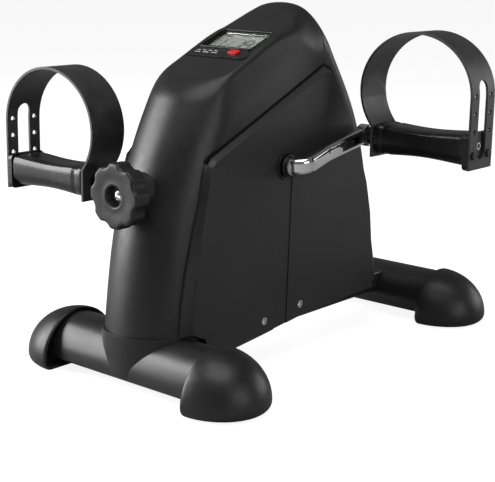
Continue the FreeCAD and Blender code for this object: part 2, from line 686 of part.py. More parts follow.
def make_pedal_body():
    """Waisted pedal block with the bore that turns on the spindle."""
    middle = (PEDAL_IN + PEDAL_OUT) / 2
    quarter = (PEDAL_OUT - PEDAL_IN) / 4
    between = (PEDAL_END_HALF_HEIGHT + PEDAL_MID_HALF_HEIGHT) / 2 - 0.5
    sections = [
        pedal_section(PEDAL_IN, PEDAL_HALF_DEPTH, PEDAL_END_HALF_HEIGHT),
        pedal_section(middle - quarter, PEDAL_HALF_DEPTH - 0.6, between),
        pedal_section(middle, PEDAL_HALF_DEPTH - 1.0, PEDAL_MID_HALF_HEIGHT),
        pedal_section(middle + quarter, PEDAL_HALF_DEPTH - 0.6, between),
        pedal_section(PEDAL_OUT, PEDAL_HALF_DEPTH, PEDAL_END_HALF_HEIGHT),
    ]
    body = Part.makeLoft(sections, True, True)
    return body.cut(rod_x(SPINDLE_R + RUNNING_FIT, 0, PEDAL_OUT - 5, 0, 0))


def make_pedal_end_cap():
    """Flange on the pedal's outer end that the strap hooks on to."""
    plate = box(PEDAL_OUT, END_CAP_OUT, -19.5, 19.5, -17.0, 15.0)
    along = [e for e in plate.Edges if abs(e.tangentAt(e.FirstParameter).x) > 0.9]
    plate = plate.makeFillet(5.0, along)
    for y in (-STRAP_LEG_Y, STRAP_LEG_Y):
        plate = plate.cut(rod_x(PEG_R, 0, FREE, y, PEG_Z))
    return plate


def make_strap_pegs():
    pegs = []
    for y in (-STRAP_LEG_Y, STRAP_LEG_Y):
        shank = rod_x(PEG_R, PEDAL_OUT, END_CAP_OUT + STRAP_THICK + 0.3, y, PEG_Z)
        head = rod_x(PEG_R + 1.2, END_CAP_OUT + STRAP_THICK + 0.3, END_CAP_OUT + STRAP_THICK + 2.0, y, PEG_Z)
        pegs.append(shank.fuse(head).removeSplitter())
    return group(pegs)


def loop_prism(grow):
    """Elliptical prism whose surface lies this far outside the strap's middle layer."""
    end = V(LOOP_X + LOOP_HALF_WIDTH + grow, 0, LOOP_Z)
    top = V(LOOP_X, 0, LOOP_Z + LOOP_HALF_HEIGHT + grow)
    ellipse = Part.Ellipse(end, top, V(LOOP_X, 0, LOOP_Z)).toShape()
    prism = Part.Face(Part.Wire([ellipse])).extrude(V(0, 2 * STRAP_HALF_WIDTH, 0))
    prism.translate(V(0, -STRAP_HALF_WIDTH, 0))
    return prism


def make_pedal_strap():
    """Moulded strap: a loop over the foot whose outer part divides into two drilled legs."""
    half = STRAP_THICK / 2
    strap = loop_prism(half).cut(loop_prism(-half))
    for x, low in ((INNER_TAB_X, INNER_TAB_LOW), (OUTER_TAB_X, OUTER_TAB_LOW)):
        reach = (x - LOOP_X) / LOOP_HALF_WIDTH
        joint = LOOP_Z - LOOP_HALF_HEIGHT * math.sqrt(max(0.0, 1 - reach ** 2))
        edge = math.copysign(FREE, reach)
        strap = strap.cut(box(min(LOOP_X, edge), max(LOOP_X, edge), -FREE, FREE, -FREE, joint))
        tab = box(x - half, x + half, -STRAP_HALF_WIDTH, STRAP_HALF_WIDTH, low, joint + 1)
        strap = strap.fuse(tab)
    strap = strap.removeSplitter()
    slot = STRAP_SLOT_HALF
    strap = strap.cut(box(LOOP_X + 20, FREE, -slot, slot, STRAP_SLOT[0], STRAP_SLOT[1]))
    for z in STRAP_SLOT:
        strap = strap.cut(rod_x(slot, LOOP_X + 20, FREE, 0, z))
    strap = strap.cut(rod_x(9.5, 0, PEDAL_IN + 1, 0, 0))
    for y in (-STRAP_LEG_Y, STRAP_LEG_Y):
        strap = strap.cut(rod_x(PEG_R + 0.2, LOOP_X, FREE, y, PEG_Z))
        for z in STRAP_HOLES:
            strap = strap.cut(rod_x(PEG_R - 0.2, LOOP_X, FREE, y, z))
    return strap


def on_pedal(shape, side):
    placed = sided(shape, side)
    y, z = pedal_axis(side)
    placed.translate(V(0, y, z))
    return placed


# ---- tension knob and brake ---------------------------------------------------------------------
def make_tension_knob():
    knob = rod_y(KNOB_R, KNOB_FRONT, KNOB_BACK, 0, KNOB_Z)
    rim = [e for e in knob.Edges if e.Length > 100]
    knob = knob.makeFillet(1.5, rim)
    for k in range(KNOB_LOBES):
        angle = math.radians(360.0 / KNOB_LOBES * (k + 0.5))
        x, z = SCALLOP_REACH * math.cos(angle), KNOB_Z + SCALLOP_REACH * math.sin(angle)
        knob = knob.cut(rod_y(SCALLOP_R, KNOB_FRONT - 1, KNOB_BACK + 1, x, z))
    knob = knob.fuse(rod_y(KNOB_SKIRT_R, KNOB_BACK, KNOB_SKIRT_BACK, 0, KNOB_Z)).removeSplitter()
    knob = knob.cut(rod_y(KNOB_RECESS_R, KNOB_FRONT - 1, KNOB_FRONT + KNOB_RECESS, 0, KNOB_Z))
    return knob.cut(rod_y(ROD_R, KNOB_FRONT, FREE, 0, KNOB_Z))


def make_knob_screw():
    """Domed cross-head screw at the bottom of the knob's recess."""
    seat = KNOB_FRONT + KNOB_RECESS
    dome_r, head_r, head_high = 8.0, 5.0, 3.8
    slot_long, slot_half = 3.2, 0.6
    head = Part.makeSphere(dome_r, V(0, seat - head_high + dome_r, KNOB_Z))
    head = head.common(rod_y(head_r, seat - head_high - 1, seat, 0, KNOB_Z))
    for a, b in ((slot_long, slot_half), (slot_half, slot_long)):
        head = head.cut(box(-a, a, -FREE, seat - head_high + 1.4, KNOB_Z - b, KNOB_Z + b))
    return head


def make_tension_rod():
    return rod_y(ROD_R, KNOB_FRONT + KNOB_RECESS, ROD_END, 0, KNOB_Z)


def make_knob_bushing(housing):
    """Boss on the nose that the tension rod turns in."""
    front, back = KNOB_SKIRT_BACK + 0.4, COLLAR_FRONT - 0.4
    sleeve = rod_y(BUSHING_R, front, back, 0, KNOB_Z)
    boss = Part.makeCone(BOSS_FRONT_R, BOSS_BACK_R, BOSS_LONG, V(0, front, KNOB_Z), V(0, 1, 0))
    bushing = sleeve.fuse(boss.cut(housing)).removeSplitter()
    return bushing.cut(rod_y(ROD_R + RUNNING_FIT, -FREE, FREE, 0, KNOB_Z))


def make_rod_collar():
    ring = rod_y(COLLAR_R, COLLAR_FRONT, COLLAR_FRONT + COLLAR_WIDE, 0, KNOB_Z)
    return ring.cut(rod_y(ROD_R, -FREE, 0, 0, KNOB_Z))


def wheel_sector(inner, outer, half_width):
    """Part of a ring round the wheel, on its side towards the knob."""
    ring = rod_x(outer, -half_width, half_width, AXLE_Y, AXLE_Z)
    ring = ring.cut(rod_x(inner, -FREE, FREE, AXLE_Y, AXLE_Z))
    reach = 2 * outer
    rise = reach * math.tan(math.radians(SHOE_HALF_ANGLE))
    wedge = ((AXLE_Y, AXLE_Z), (AXLE_Y - reach, AXLE_Z - rise), (AXLE_Y - reach, AXLE_Z + rise))
    return ring.common(prism_x(wedge, -FREE, FREE))


def make_brake_shoe():
    face = WHEEL_R + BRAKE_GAP + FELT_THICK
    shoe = wheel_sector(face, face + SHOE_THICK, CARRIAGE_HALF)
    front = AXLE_Y - face - SHOE_THICK + 1.0
    stem = box(
        -CARRIAGE_HALF, CARRIAGE_HALF, CARRIAGE_BACK, front,
        KNOB_Z - CARRIAGE_HALF, KNOB_Z + CARRIAGE_HALF,
    )
    shoe = shoe.fuse(stem).removeSplitter()
    return shoe.cut(rod_y(ROD_R + RUNNING_FIT, -FREE, ROD_SOCKET_END, 0, KNOB_Z))


def make_brake_felt():
    face = WHEEL_R + BRAKE_GAP
    return wheel_sector(face, face + FELT_THICK, CARRIAGE_HALF)


def make_brake_guide():
    """Channel that keeps the brake carriage from turning, on a post from the spine."""
    gap, thick = 0.4, 3.0
    half = CARRIAGE_HALF + gap
    floor_z = KNOB_Z - CARRIAGE_HALF - gap
    outer = half + thick
    channel = box(-outer, outer, GUIDE_FRONT, GUIDE_BACK, floor_z - thick, KNOB_Z + CARRIAGE_HALF)
    channel = channel.cut(box(-half, half, -FREE, FREE, floor_z, FREE))
    post = box(-outer, outer, GUIDE_POST_Y - 2, GUIDE_POST_Y + 2, SPINE_TOP, floor_z - thick)
    return channel.fuse(post).removeSplitter()


# ---- meter --------------------------------------------------------------------------------------
def make_meter_case():
    """Open box with the screen window and the button hole in its face."""
    case = meter_block()
    case = case.cut(box(-METER_HALF + 2, METER_HALF - 2, 2, METER_LONG - 2, -METER_DEEP + 2, -2))
    u0, u1, v0, v1 = SCREEN
    case = case.cut(box(u0, u1, v0, v1, -3, 1))
    case = case.cut(button_block(0.3, -3, 1))
    clip = box(*CLIP)
    return in_meter(case.fuse(clip).removeSplitter())


def button_block(grow, w0, w1):
    u0, u1, v0, v1 = BUTTON
    return rounded_block(u0 - grow, u1 + grow, v0 - grow, v1 + grow, w0, w1, 1.4)


def screen_block(grow, w0, w1, corner):
    """Rounded block round the screen; the frame stands a little further out above than below."""
    u0, u1, v0, v1 = SCREEN
    return rounded_block(u0 - grow, u1 + grow, v0 - grow + 0.5, v1 + grow + 0.5, w0, w1, corner)


def make_meter_frame():
    """Raised rounded rim round the screen."""
    rim = screen_block(SCREEN_FRAME_OUT, 0.0, SCREEN_FRAME_PROUD, 4.0)
    return in_meter(rim.cut(screen_block(SCREEN_FRAME_IN, -1.0, SCREEN_FRAME_PROUD + 1, 3.0)))


def make_meter_lens():
    u0, u1, v0, v1 = SCREEN
    return in_meter(box(u0, u1, v0, v1, LENS_W[0], LENS_W[1]))


def make_lcd_panel():
    u0, u1, v0, v1 = SCREEN
    hidden = 2.0
    return in_meter(box(u0 - hidden, u1 + hidden, v0 - hidden, v1 + hidden, LCD_W[0], LCD_W[1]))


def make_meter_board():
    half, margin = METER_HALF - 5.0, 4.0
    return in_meter(box(-half, half, margin, METER_LONG - margin, BOARD_W[0], BOARD_W[1]))


def make_battery_cell():
    return in_meter(rod_z(CELL_R, CELL_W[0], CELL_W[1], 0, CELL_V))


def make_meter_button():
    return in_meter(button_block(0.0, -3.0, BUTTON_PROUD))


# ---- the whole machine --------------------------------------------------------------------------
def build():
    parts = {}
    parts["front_tube"] = make_tube(-TUBE_Y)
    parts["rear_tube"] = make_tube(TUBE_Y)
    for end, y in (("front", -TUBE_Y), ("rear", TUBE_Y)):
        for name, side in SIDES:
            parts[f"cap_{end}_{name}"] = sided(make_cap(y), side)
    parts["stabilizer_bolts"] = make_stabilizer_bolts()
    parts["tube_blocks"] = make_tube_blocks()
    parts["spine_frame"] = make_spine_frame()
    parts["crank_bracket"] = make_crank_bracket()
    parts["crank_bearings"] = make_crank_bearings()
    parts["brake_guide"] = make_brake_guide()
    parts["reed_sensor"] = make_reed_sensor()
    block = housing_solid(0.0)
    parts["front_housing"], parts["rear_housing"] = make_housing(block)
    parts["front_saddle"] = make_front_saddle()
    parts["knob_bushing"] = make_knob_bushing(block)

    parts["crank_axle"] = make_crank_axle()
    parts["resistance_wheel"] = make_resistance_wheel()
    parts["wheel_magnet"] = make_wheel_magnet()
    for name, side in SIDES:
        parts[f"side_cover_{name}"], parts[f"slot_strip_{name}"] = make_side_cover(side, block)
        parts[f"cover_screws_{name}"] = make_cover_screws(side)
        parts[f"axle_grommet_{name}"] = make_axle_grommet(side)
        parts[f"axle_sleeve_{name}"] = make_axle_sleeve(side)
        parts[f"crank_arm_{name}"] = on_crank(make_arm(), side)
        parts[f"pedal_spindle_{name}"] = on_pedal(make_pedal_spindle(), side)
        parts[f"pedal_body_{name}"] = on_pedal(make_pedal_body(), side)
        parts[f"pedal_end_cap_{name}"] = on_pedal(make_pedal_end_cap(), side)
        parts[f"pedal_strap_{name}"] = on_pedal(make_pedal_strap(), side)
        parts[f"strap_pegs_{name}"] = on_pedal(make_strap_pegs(), side)

    parts["tension_knob"] = make_tension_knob()
    parts["knob_screw"] = make_knob_screw()
    parts["tension_rod"] = make_tension_rod()
    parts["rod_collar"] = make_rod_collar()
    parts["brake_shoe"] = make_brake_shoe()
    parts["brake_felt"] = make_brake_felt()

    parts["meter_case"] = make_meter_case()
    parts["meter_frame"] = make_meter_frame()
    parts["meter_lens"] = make_meter_lens()
    parts["lcd_panel"] = make_lcd_panel()
    parts["meter_board"] = make_meter_board()
    parts["battery_cell"] = make_battery_cell()
    parts["meter_button"] = make_meter_button()
    return parts


def main():
    os.makedirs("parts", exist_ok=True)
    for name, shape in build().items():
        solids = shape.Solids
        shape = solids[0] if len(solids) == 1 else Part.makeCompound(solids)
        shape.exportStep(f"parts/{name}.step")
        b = shape.BoundBox
        print(
            f"{name:24s} solids {len(solids)} valid {shape.isValid()} volume {shape.Volume / 1000:8.2f} cm3  "
            f"x {b.XMin:7.1f} {b.XMax:7.1f}  y {b.YMin:7.1f} {b.YMax:7.1f}  z {b.ZMin:6.1f} {b.ZMax:6.1f}"
        )


main()
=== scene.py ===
"""Looks of the pedal exerciser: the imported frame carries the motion, and these pieces ride on it.

Lengths are written in millimetres and scaled by MM where a mesh is made; the frame itself is in metres.
"""
import json
import math

import bmesh
import bpy
import numpy as np
from mathutils import Matrix, Vector


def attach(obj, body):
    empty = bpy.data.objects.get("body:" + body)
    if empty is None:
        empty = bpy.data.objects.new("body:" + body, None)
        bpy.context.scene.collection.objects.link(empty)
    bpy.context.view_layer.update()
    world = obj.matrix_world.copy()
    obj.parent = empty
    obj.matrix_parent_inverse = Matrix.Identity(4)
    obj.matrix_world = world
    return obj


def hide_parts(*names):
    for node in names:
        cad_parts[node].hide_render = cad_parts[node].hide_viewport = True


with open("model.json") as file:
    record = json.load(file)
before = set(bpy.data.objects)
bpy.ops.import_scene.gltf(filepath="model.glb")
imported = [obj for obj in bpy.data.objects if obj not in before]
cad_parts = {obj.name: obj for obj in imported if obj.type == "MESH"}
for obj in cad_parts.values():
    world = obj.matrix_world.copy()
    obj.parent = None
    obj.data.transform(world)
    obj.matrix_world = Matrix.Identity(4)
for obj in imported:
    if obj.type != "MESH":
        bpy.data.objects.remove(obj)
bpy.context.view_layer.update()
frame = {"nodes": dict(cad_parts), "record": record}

MM = 0.001
RIGHT, LEFT = 1, -1
SIDES = (("right", RIGHT), ("left", LEFT))
BODY_OF = {
    node: body for body, nodes in frame["record"]["behaviour"]["bodies"].items() for node in nodes
}
SLOT_OF = {part["node"]: part["material_slot"] for part in frame["record"]["subparts"]}


# ---- camera, light and floor --------------------------------------------------------------------
CAMERA_PLACE = (0.7017, -0.8735, 0.3610)
CAMERA_YAW, CAMERA_PITCH, CAMERA_ROLL = 39.95, 13.4, 0.97
CAMERA_LENS, CAMERA_SENSOR = 89.04, 36.0
WHITE = (1.0, 1.0, 1.0, 1.0)
SURROUND = 0.13
FLOOR_GLOW = 0.88
FLOOR_SIZE = 24.0
MIDDLE = (0.0, -0.02, 0.15)
# name, place, width, height, power
SOFTBOXES = (
    ("key_left", (-1.35, -0.95, 0.65), 1.0, 1.3, 36.0),
    ("top", (0.2, -0.45, 1.6), 1.2, 1.2, 11.0),
    ("fill_right", (1.9, -0.4, 0.7), 1.2, 1.2, 7.0),
    ("back_rim", (0.9, 1.6, 0.5), 1.2, 0.8, 7.0),
)


def make_camera():
    """Camera on the user's right, a little above the machine, as far off as a product shot."""
    yaw, pitch, roll = (math.radians(angle) for angle in (CAMERA_YAW, CAMERA_PITCH, CAMERA_ROLL))
    forward = Vector((-math.sin(yaw) * math.cos(pitch), math.cos(yaw) * math.cos(pitch), -math.sin(pitch)))
    level = Vector((math.cos(yaw), math.sin(yaw), 0))
    upright = level.cross(forward)
    right = level * math.cos(roll) + upright * math.sin(roll)
    up = upright * math.cos(roll) - level * math.sin(roll)
    data = bpy.data.cameras.new("camera")
    data.sensor_width = CAMERA_SENSOR
    data.lens = CAMERA_LENS
    data.clip_start, data.clip_end = 0.05, 50.0
    camera = bpy.data.objects.new("camera", data)
    turn = Matrix((right, up, -forward)).transposed().to_4x4()
    camera.matrix_world = Matrix.Translation(CAMERA_PLACE) @ turn
    bpy.context.scene.collection.objects.link(camera)
    bpy.context.scene.camera = camera


def add_softbox(name, place, width, height, power):
    """Rectangular light that faces the middle of the machine."""
    data = bpy.data.lights.new(name, "AREA")
    data.shape = "RECTANGLE"
    data.size, data.size_y = width, height
    data.energy = power
    light = bpy.data.objects.new(name, data)
    light.location = place
    light.rotation_euler = (Vector(MIDDLE) - Vector(place)).to_track_quat("-Z", "Y").to_euler()
    bpy.context.scene.collection.objects.link(light)


def seen_by_camera(tree):
    return tree.nodes.new("ShaderNodeLightPath").outputs["Is Camera Ray"]


def make_world():
    """Plain white behind the machine; a much dimmer grey is what lights it and shows in its gloss."""
    world = bpy.data.worlds.new("studio")
    world.use_nodes = True
    tree = world.node_tree
    surround = tree.nodes["Background"]
    surround.inputs["Color"].default_value = WHITE
    surround.inputs["Strength"].default_value = SURROUND
    backdrop = tree.nodes.new("ShaderNodeBackground")
    backdrop.inputs["Color"].default_value = WHITE
    backdrop.inputs["Strength"].default_value = 1.0
    mixed = tree.nodes.new("ShaderNodeMixShader")
    tree.links.new(seen_by_camera(tree), mixed.inputs["Fac"])
    tree.links.new(surround.outputs["Background"], mixed.inputs[1])
    tree.links.new(backdrop.outputs["Background"], mixed.inputs[2])
    tree.links.new(mixed.outputs["Shader"], tree.nodes["World Output"].inputs["Surface"])
    bpy.context.scene.world = world
    bpy.context.scene.view_settings.view_transform = "Standard"


def make_floor():
    """Pale light table: its own glow leaves only soft shadows at the feet."""
    bpy.ops.mesh.primitive_plane_add(size=FLOOR_SIZE, location=(0, 0, -0.0002))
    floor = bpy.context.object
    floor.name = "floor"
    floor.data.materials.append(paper_material())


def make_studio():
    """Light from the left and above, and little on the flank that the camera sees."""
    make_world()
    make_floor()
    for softbox in SOFTBOXES:
        add_softbox(*softbox)


# ---- materials ----------------------------------------------------------------------------------
class Shader:
    """One material being built: adds nodes, and links or sets their inputs by name."""

    def __init__(self, name):
        self.material = bpy.data.materials.new(name)
        self.material.use_nodes = True
        self.tree = self.material.node_tree
        self.surface = self.tree.nodes["Principled BSDF"]
        self.object_space = self.add("ShaderNodeTexCoord").outputs["Object"]

    def add(self, kind, settings=None, **inputs):
        node = self.tree.nodes.new(kind)
        for key, value in (settings or {}).items():
            setattr(node, key, value)
        for key, value in inputs.items():
            self.put(node, key.replace("_", " "), value)
        return node

    def put(self, node, name, value):
        socket = node.inputs[name]
        if isinstance(value, bpy.types.NodeSocket):
            self.tree.links.new(value, socket)
        else:
            socket.default_value = value

    def set(self, **inputs):
        for key, value in inputs.items():
            self.put(self.surface, key.replace("_", " "), value)

    def noise(self, scale, detail=3.0, stretch=None):
        """Noise in the machine's own space; scale is in features per metre."""
        space = self.object_space
        if stretch:
            mapped = self.add("ShaderNodeMapping", Vector=space)
            mapped.inputs["Scale"].default_value = stretch
            space = mapped.outputs["Vector"]
        made = self.add("ShaderNodeTexNoise", Vector=space, Scale=scale, Detail=detail, Roughness=0.55)
        return made.outputs["Fac"]

    def spread(self, value, low, high, start=0.3, stop=0.7):
        """Map the useful part of a noise on to low..high."""
        made = self.add("ShaderNodeMapRange", Value=value)
        for key, number in (("From Min", start), ("From Max", stop), ("To Min", low), ("To Max", high)):
            made.inputs[key].default_value = number
        return made.outputs["Result"]

    def tint(self, value, dark, light, start=0.3, stop=0.7):
        ramp = self.add("ShaderNodeValToRGB", Fac=value)
        ends = ramp.color_ramp.elements
        ends[0].position, ends[1].position = start, stop
        ends[0].color, ends[1].color = (*dark, 1.0), (*light, 1.0)
        return ramp.outputs["Color"]

    def total(self, first, second):
        made = self.add("ShaderNodeMath", {"operation": "MULTIPLY_ADD"})
        self.put(made, 0, first)
        self.put(made, 1, 1.0)
        self.put(made, 2, second)
        return made.outputs["Value"]

    def bump(self, height, strength, distance, under=None):
        made = self.add("ShaderNodeBump", Height=height, Strength=strength, Distance=distance)
        if under is not None:
            self.put(made, "Normal", under)
        return made.outputs["Normal"]


def scaled(colour, factor):
    return tuple(channel * factor for channel in colour)


def moulded(name, colour, roughness, grain=0.25, grain_size=0.45, orange_peel=0.05, specular=0.5):
    """Injection-moulded plastic: spark-eroded grain, a little sink and flow, and handled patches."""
    made = Shader(name)
    patches = made.noise(22.0, 4.0)
    rub = made.noise(160.0, 5.0)
    grains = made.noise(1000.0 / grain_size, 2.0)
    flow = made.noise(70.0, 2.0)
    made.set(Base_Color=made.tint(patches, scaled(colour, 0.86), scaled(colour, 1.16)))
    wear = made.spread(patches, roughness - 0.035, roughness + 0.045)
    made.set(Roughness=made.total(made.spread(rub, -0.04, 0.05), wear), Specular_IOR_Level=specular)
    soft = made.bump(flow, orange_peel, 0.0012)
    made.set(Normal=made.bump(grains, grain, 0.00009, soft))
    return made.material


def coated_steel(name, colour, roughness):
    """Powder-coated steel: fine orange peel over a smooth curve, with faint scuffs."""
    made = Shader(name)
    peel = made.noise(420.0, 2.0)
    patches = made.noise(25.0, 3.0)
    scuffs = made.noise(90.0, 6.0, stretch=(0.35, 1.0, 1.0))
    made.set(Base_Color=made.tint(patches, scaled(colour, 0.85), scaled(colour, 1.2)))
    made.set(Roughness=made.spread(scuffs, roughness - 0.05, roughness + 0.07))
    made.set(Normal=made.bump(peel, 0.16, 0.00018), Coat_Weight=0.18, Coat_Roughness=0.22)
    return made.material


def bare_metal(name, colour, roughness, brushed=(1.0, 1.0, 1.0), streak=0.1):
    """Bright metal: chrome, zinc or turned steel, with fine directional marks."""
    made = Shader(name)
    marks = made.noise(900.0, 4.0, stretch=brushed)
    haze = made.noise(40.0, 4.0)
    made.set(Base_Color=made.tint(haze, scaled(colour, 0.93), colour), Metallic=1.0)
    polish = made.spread(haze, roughness * 0.8, roughness * 1.25)
    made.set(Roughness=made.total(made.spread(marks, 0.0, streak * roughness * 4), polish))
    made.set(Normal=made.bump(marks, streak, 0.00002))
    return made.material


def paper_material():
    """Matt white sweep, lit from below for the camera only, with the faintest mottling."""
    made = Shader("sweep_paper")
    made.set(Base_Color=made.tint(made.noise(3.0, 2.0), (0.42, 0.42, 0.42), (0.44, 0.44, 0.44)))
    made.set(Roughness=0.9, Specular_IOR_Level=0.0, Emission_Color=WHITE)
    glow = made.add("ShaderNodeMath", {"operation": "MULTIPLY"})
    made.put(glow, 0, seen_by_camera(made.tree))
    made.put(glow, 1, FLOOR_GLOW)
    made.set(Emission_Strength=glow.outputs["Value"])
    return made.material


def strap_material():
    """Satin moulded rubber with fine lengthwise lines and a dusty bloom."""
    made = Shader("strap_rubber")
    bloom = made.noise(55.0, 5.0)
    pores = made.noise(1500.0, 2.0)
    lines = made.noise(700.0, 1.0, stretch=(0.02, 1.0, 0.02))
    made.set(Base_Color=made.tint(bloom, (0.028, 0.0265, 0.027), (0.047, 0.044, 0.045)))
    made.set(Roughness=made.spread(bloom, 0.40, 0.54), Specular_IOR_Level=0.5)
    made.set(Normal=made.bump(pores, 0.2, 0.00007, made.bump(lines, 0.25, 0.00012)))
    return made.material


def felt_material():
    """Pale grey felt with its fibres lying one way."""
    made = Shader("brake_felt")
    fibres = made.noise(1800.0, 6.0, stretch=(1.0, 0.4, 1.0))
    made.set(Base_Color=made.tint(fibres, (0.18, 0.17, 0.15), (0.38, 0.36, 0.33)), Roughness=0.95)
    made.set(Normal=made.bump(fibres, 0.7, 0.0003), Sheen_Weight=0.4)
    return made.material


def liquid_crystal_material():
    """Pale liquid-crystal glass: a faint cell grid over a soft haze."""
    made = Shader("lcd_glass")
    haze = made.noise(60.0, 3.0)
    grid = made.add("ShaderNodeTexBrick", Vector=made.object_space, Scale=900.0)
    grid.inputs["Mortar Size"].default_value = 0.02
    base = made.tint(haze, (0.72, 0.73, 0.71), (0.80, 0.81, 0.79))
    made.set(Base_Color=base, Roughness=0.32, Coat_Weight=0.4, Coat_Roughness=0.05)
    made.set(Normal=made.bump(grid.outputs["Fac"], 0.05, 0.00002))
    return made.material


def lens_material():
    """Clear window with a faint film."""
    made = Shader("meter_lens")
    film = made.noise(30.0, 3.0)
    made.set(Base_Color=(0.96, 0.98, 0.97, 1.0), Transmission_Weight=1.0, IOR=1.45)
    made.set(Roughness=made.spread(film, 0.02, 0.06))
    return made.material


def board_material():
    """Green board with a pattern of tracks."""
    made = Shader("circuit_board")
    tracks = made.add("ShaderNodeTexBrick", Vector=made.object_space, Scale=260.0)
    made.set(Base_Color=made.tint(tracks.outputs["Fac"], (0.015, 0.10, 0.04), (0.03, 0.18, 0.08)))
    made.set(Roughness=0.4, Normal=made.bump(tracks.outputs["Fac"], 0.3, 0.0001))
    return made.material


def print_material():
    """Pad-printed white ink."""
    made = Shader("white_print")
    wear = made.noise(500.0, 4.0)
    made.set(Base_Color=made.tint(wear, (0.50, 0.50, 0.49), (0.74, 0.74, 0.73)), Roughness=0.5)
    return made.material


def segment_material():
    """The dark bars of the display's digits."""
    made = Shader("lcd_segments")
    film = made.noise(400.0, 3.0)
    made.set(Base_Color=made.tint(film, (0.20, 0.21, 0.20), (0.26, 0.27, 0.26)), Roughness=0.35)
    return made.material


BLACK = (0.0135, 0.0128, 0.0130)
MATERIALS = {
    "housing_plastic": moulded("housing_plastic", scaled(BLACK, 1.05), 0.40, 0.22),
    "cover_plastic": moulded("cover_plastic", BLACK, 0.46, 0.24),
    "strip_plastic": moulded("strip_plastic", scaled(BLACK, 0.92), 0.46, 0.24),
    "saddle_plastic": moulded("saddle_plastic", BLACK, 0.42, 0.24),
    "cap_plastic": moulded("cap_plastic", scaled(BLACK, 1.1), 0.38, 0.2),
    "knob_plastic": moulded("knob_plastic", scaled(BLACK, 0.85), 0.42, 0.3),
    "inner_plastic": moulded("inner_plastic", scaled(BLACK, 1.2), 0.5, 0.2),
    "meter_plastic": moulded("meter_plastic", scaled(BLACK, 0.8), 0.27, 0.12, specular=0.55),
    "sleeve_plastic": moulded("sleeve_plastic", scaled(BLACK, 0.6), 0.24, 0.08),
    "pedal_plastic": moulded("pedal_plastic", scaled(BLACK, 0.8), 0.24, 0.1, orange_peel=0.12),
    "peg_plastic": moulded("peg_plastic", scaled(BLACK, 0.8), 0.28, 0.1),
    "button_red": moulded("button_red", (0.62, 0.018, 0.020), 0.30, 0.08),
    "tube_paint": coated_steel("tube_paint", scaled(BLACK, 1.1), 0.36),
    "frame_paint": coated_steel("frame_paint", scaled(BLACK, 1.2), 0.42),
    "spindle_steel": coated_steel("spindle_steel", scaled(BLACK, 0.7), 0.28),
    "arm_chrome": bare_metal("arm_chrome", (0.86, 0.86, 0.87), 0.055, streak=0.05),
    "screw_steel": bare_metal("screw_steel", (0.80, 0.80, 0.80), 0.2),
    "bolt_steel": bare_metal("bolt_steel", (0.60, 0.60, 0.59), 0.3),
    "block_steel": bare_metal("block_steel", (0.42, 0.42, 0.42), 0.4),
    "bearing_steel": bare_metal("bearing_steel", (0.62, 0.62, 0.63), 0.22, (0.1, 1.0, 1.0)),
    "axle_steel": bare_metal("axle_steel", (0.62, 0.62, 0.62), 0.25, (8.0, 0.3, 0.3)),
    "wheel_iron": bare_metal("wheel_iron", (0.22, 0.22, 0.22), 0.42, (6.0, 0.5, 0.5), 0.25),
    "magnet_metal": bare_metal("magnet_metal", (0.70, 0.70, 0.71), 0.15),
    "cell_metal": bare_metal("cell_metal", (0.70, 0.70, 0.68), 0.25),
    "strap_rubber": strap_material(),
    "brake_felt": felt_material(),
    "lcd_glass": liquid_crystal_material(),
    "meter_lens": lens_material(),
    "circuit_board": board_material(),
}
# near-black painted shade, laid in the gaps round the side covers and the meter
PAINTED_GAP_SHADE = moulded("gap_painted_shade", scaled(BLACK, 0.2), 0.7, 0.2, specular=0.15)
WHITE_PRINT = print_material()
LCD_SEGMENTS = segment_material()


# ---- mesh helpers -------------------------------------------------------------------------------
BEVEL_SEGMENTS, BEVEL_ANGLE = 3, 35.0
SAME_PLACE = 1e-6
FLAT_ANGLE = 0.4


def new_object(name, mesh, body, slot, nodes=(), material=None):
    """Link a finished mesh, dress it, and let it ride on its body in place of its CAD nodes."""
    piece = bpy.data.objects.new(name, mesh)
    bpy.context.scene.collection.objects.link(piece)
    mesh.materials.clear()
    mesh.materials.append(material or MATERIALS[slot])
    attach(piece, body)
    if nodes:
        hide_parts(*nodes)
    return piece


def mesh_from(name, points, faces):
    """A smooth-shaded mesh from points in millimetres."""
    mesh = bpy.data.meshes.new(name)
    mesh.from_pydata([tuple(float(c) * MM for c in p) for p in points], [], faces)
    mesh.validate()
    mesh.shade_smooth()
    return mesh


def ring_strip(first, second, count):
    """Quads between two closed rings of points that start at the given indices."""
    return [
        (first + k, first + (k + 1) % count, second + (k + 1) % count, second + k) for k in range(count)
    ]


def tidy_normals(mesh):
    """Join points that coincide, and turn every face outwards."""
    work = bmesh.new()
    work.from_mesh(mesh)
    bmesh.ops.remove_doubles(work, verts=work.verts, dist=SAME_PLACE)
    bmesh.ops.recalc_face_normals(work, faces=work.faces)
    work.to_mesh(mesh)
    work.free()


def tube_of_rings(name, rings, cap_start=True, cap_end=True):
    """A closed skin through rings of equally many points, which may shrink to one point."""
    count = len(rings[0])
    points = [p for ring in rings for p in ring]
    faces = []
    for k in range(len(rings) - 1):
        faces += ring_strip(k * count, (k + 1) * count, count)
    if cap_start:
        faces.append(tuple(range(count)))
    if cap_end:
        faces.append(tuple(range(len(points) - count, len(points))))
    mesh = mesh_from(name, points, faces)
    tidy_normals(mesh)
    mesh.shade_smooth()
    return mesh


def add_bevel(piece, width):
    """Rounded edges with clean shading."""
    bevel = piece.modifiers.new("rounded_edges", "BEVEL")
    bevel.width = width * MM
    bevel.segments = BEVEL_SEGMENTS
    bevel.limit_method = "ANGLE"
    bevel.angle_limit = math.radians(BEVEL_ANGLE)
    bevel.harden_normals = True
    bevel.use_clamp_overlap = True
    piece.modifiers.new("even_normals", "WEIGHTED_NORMAL").keep_sharp = True


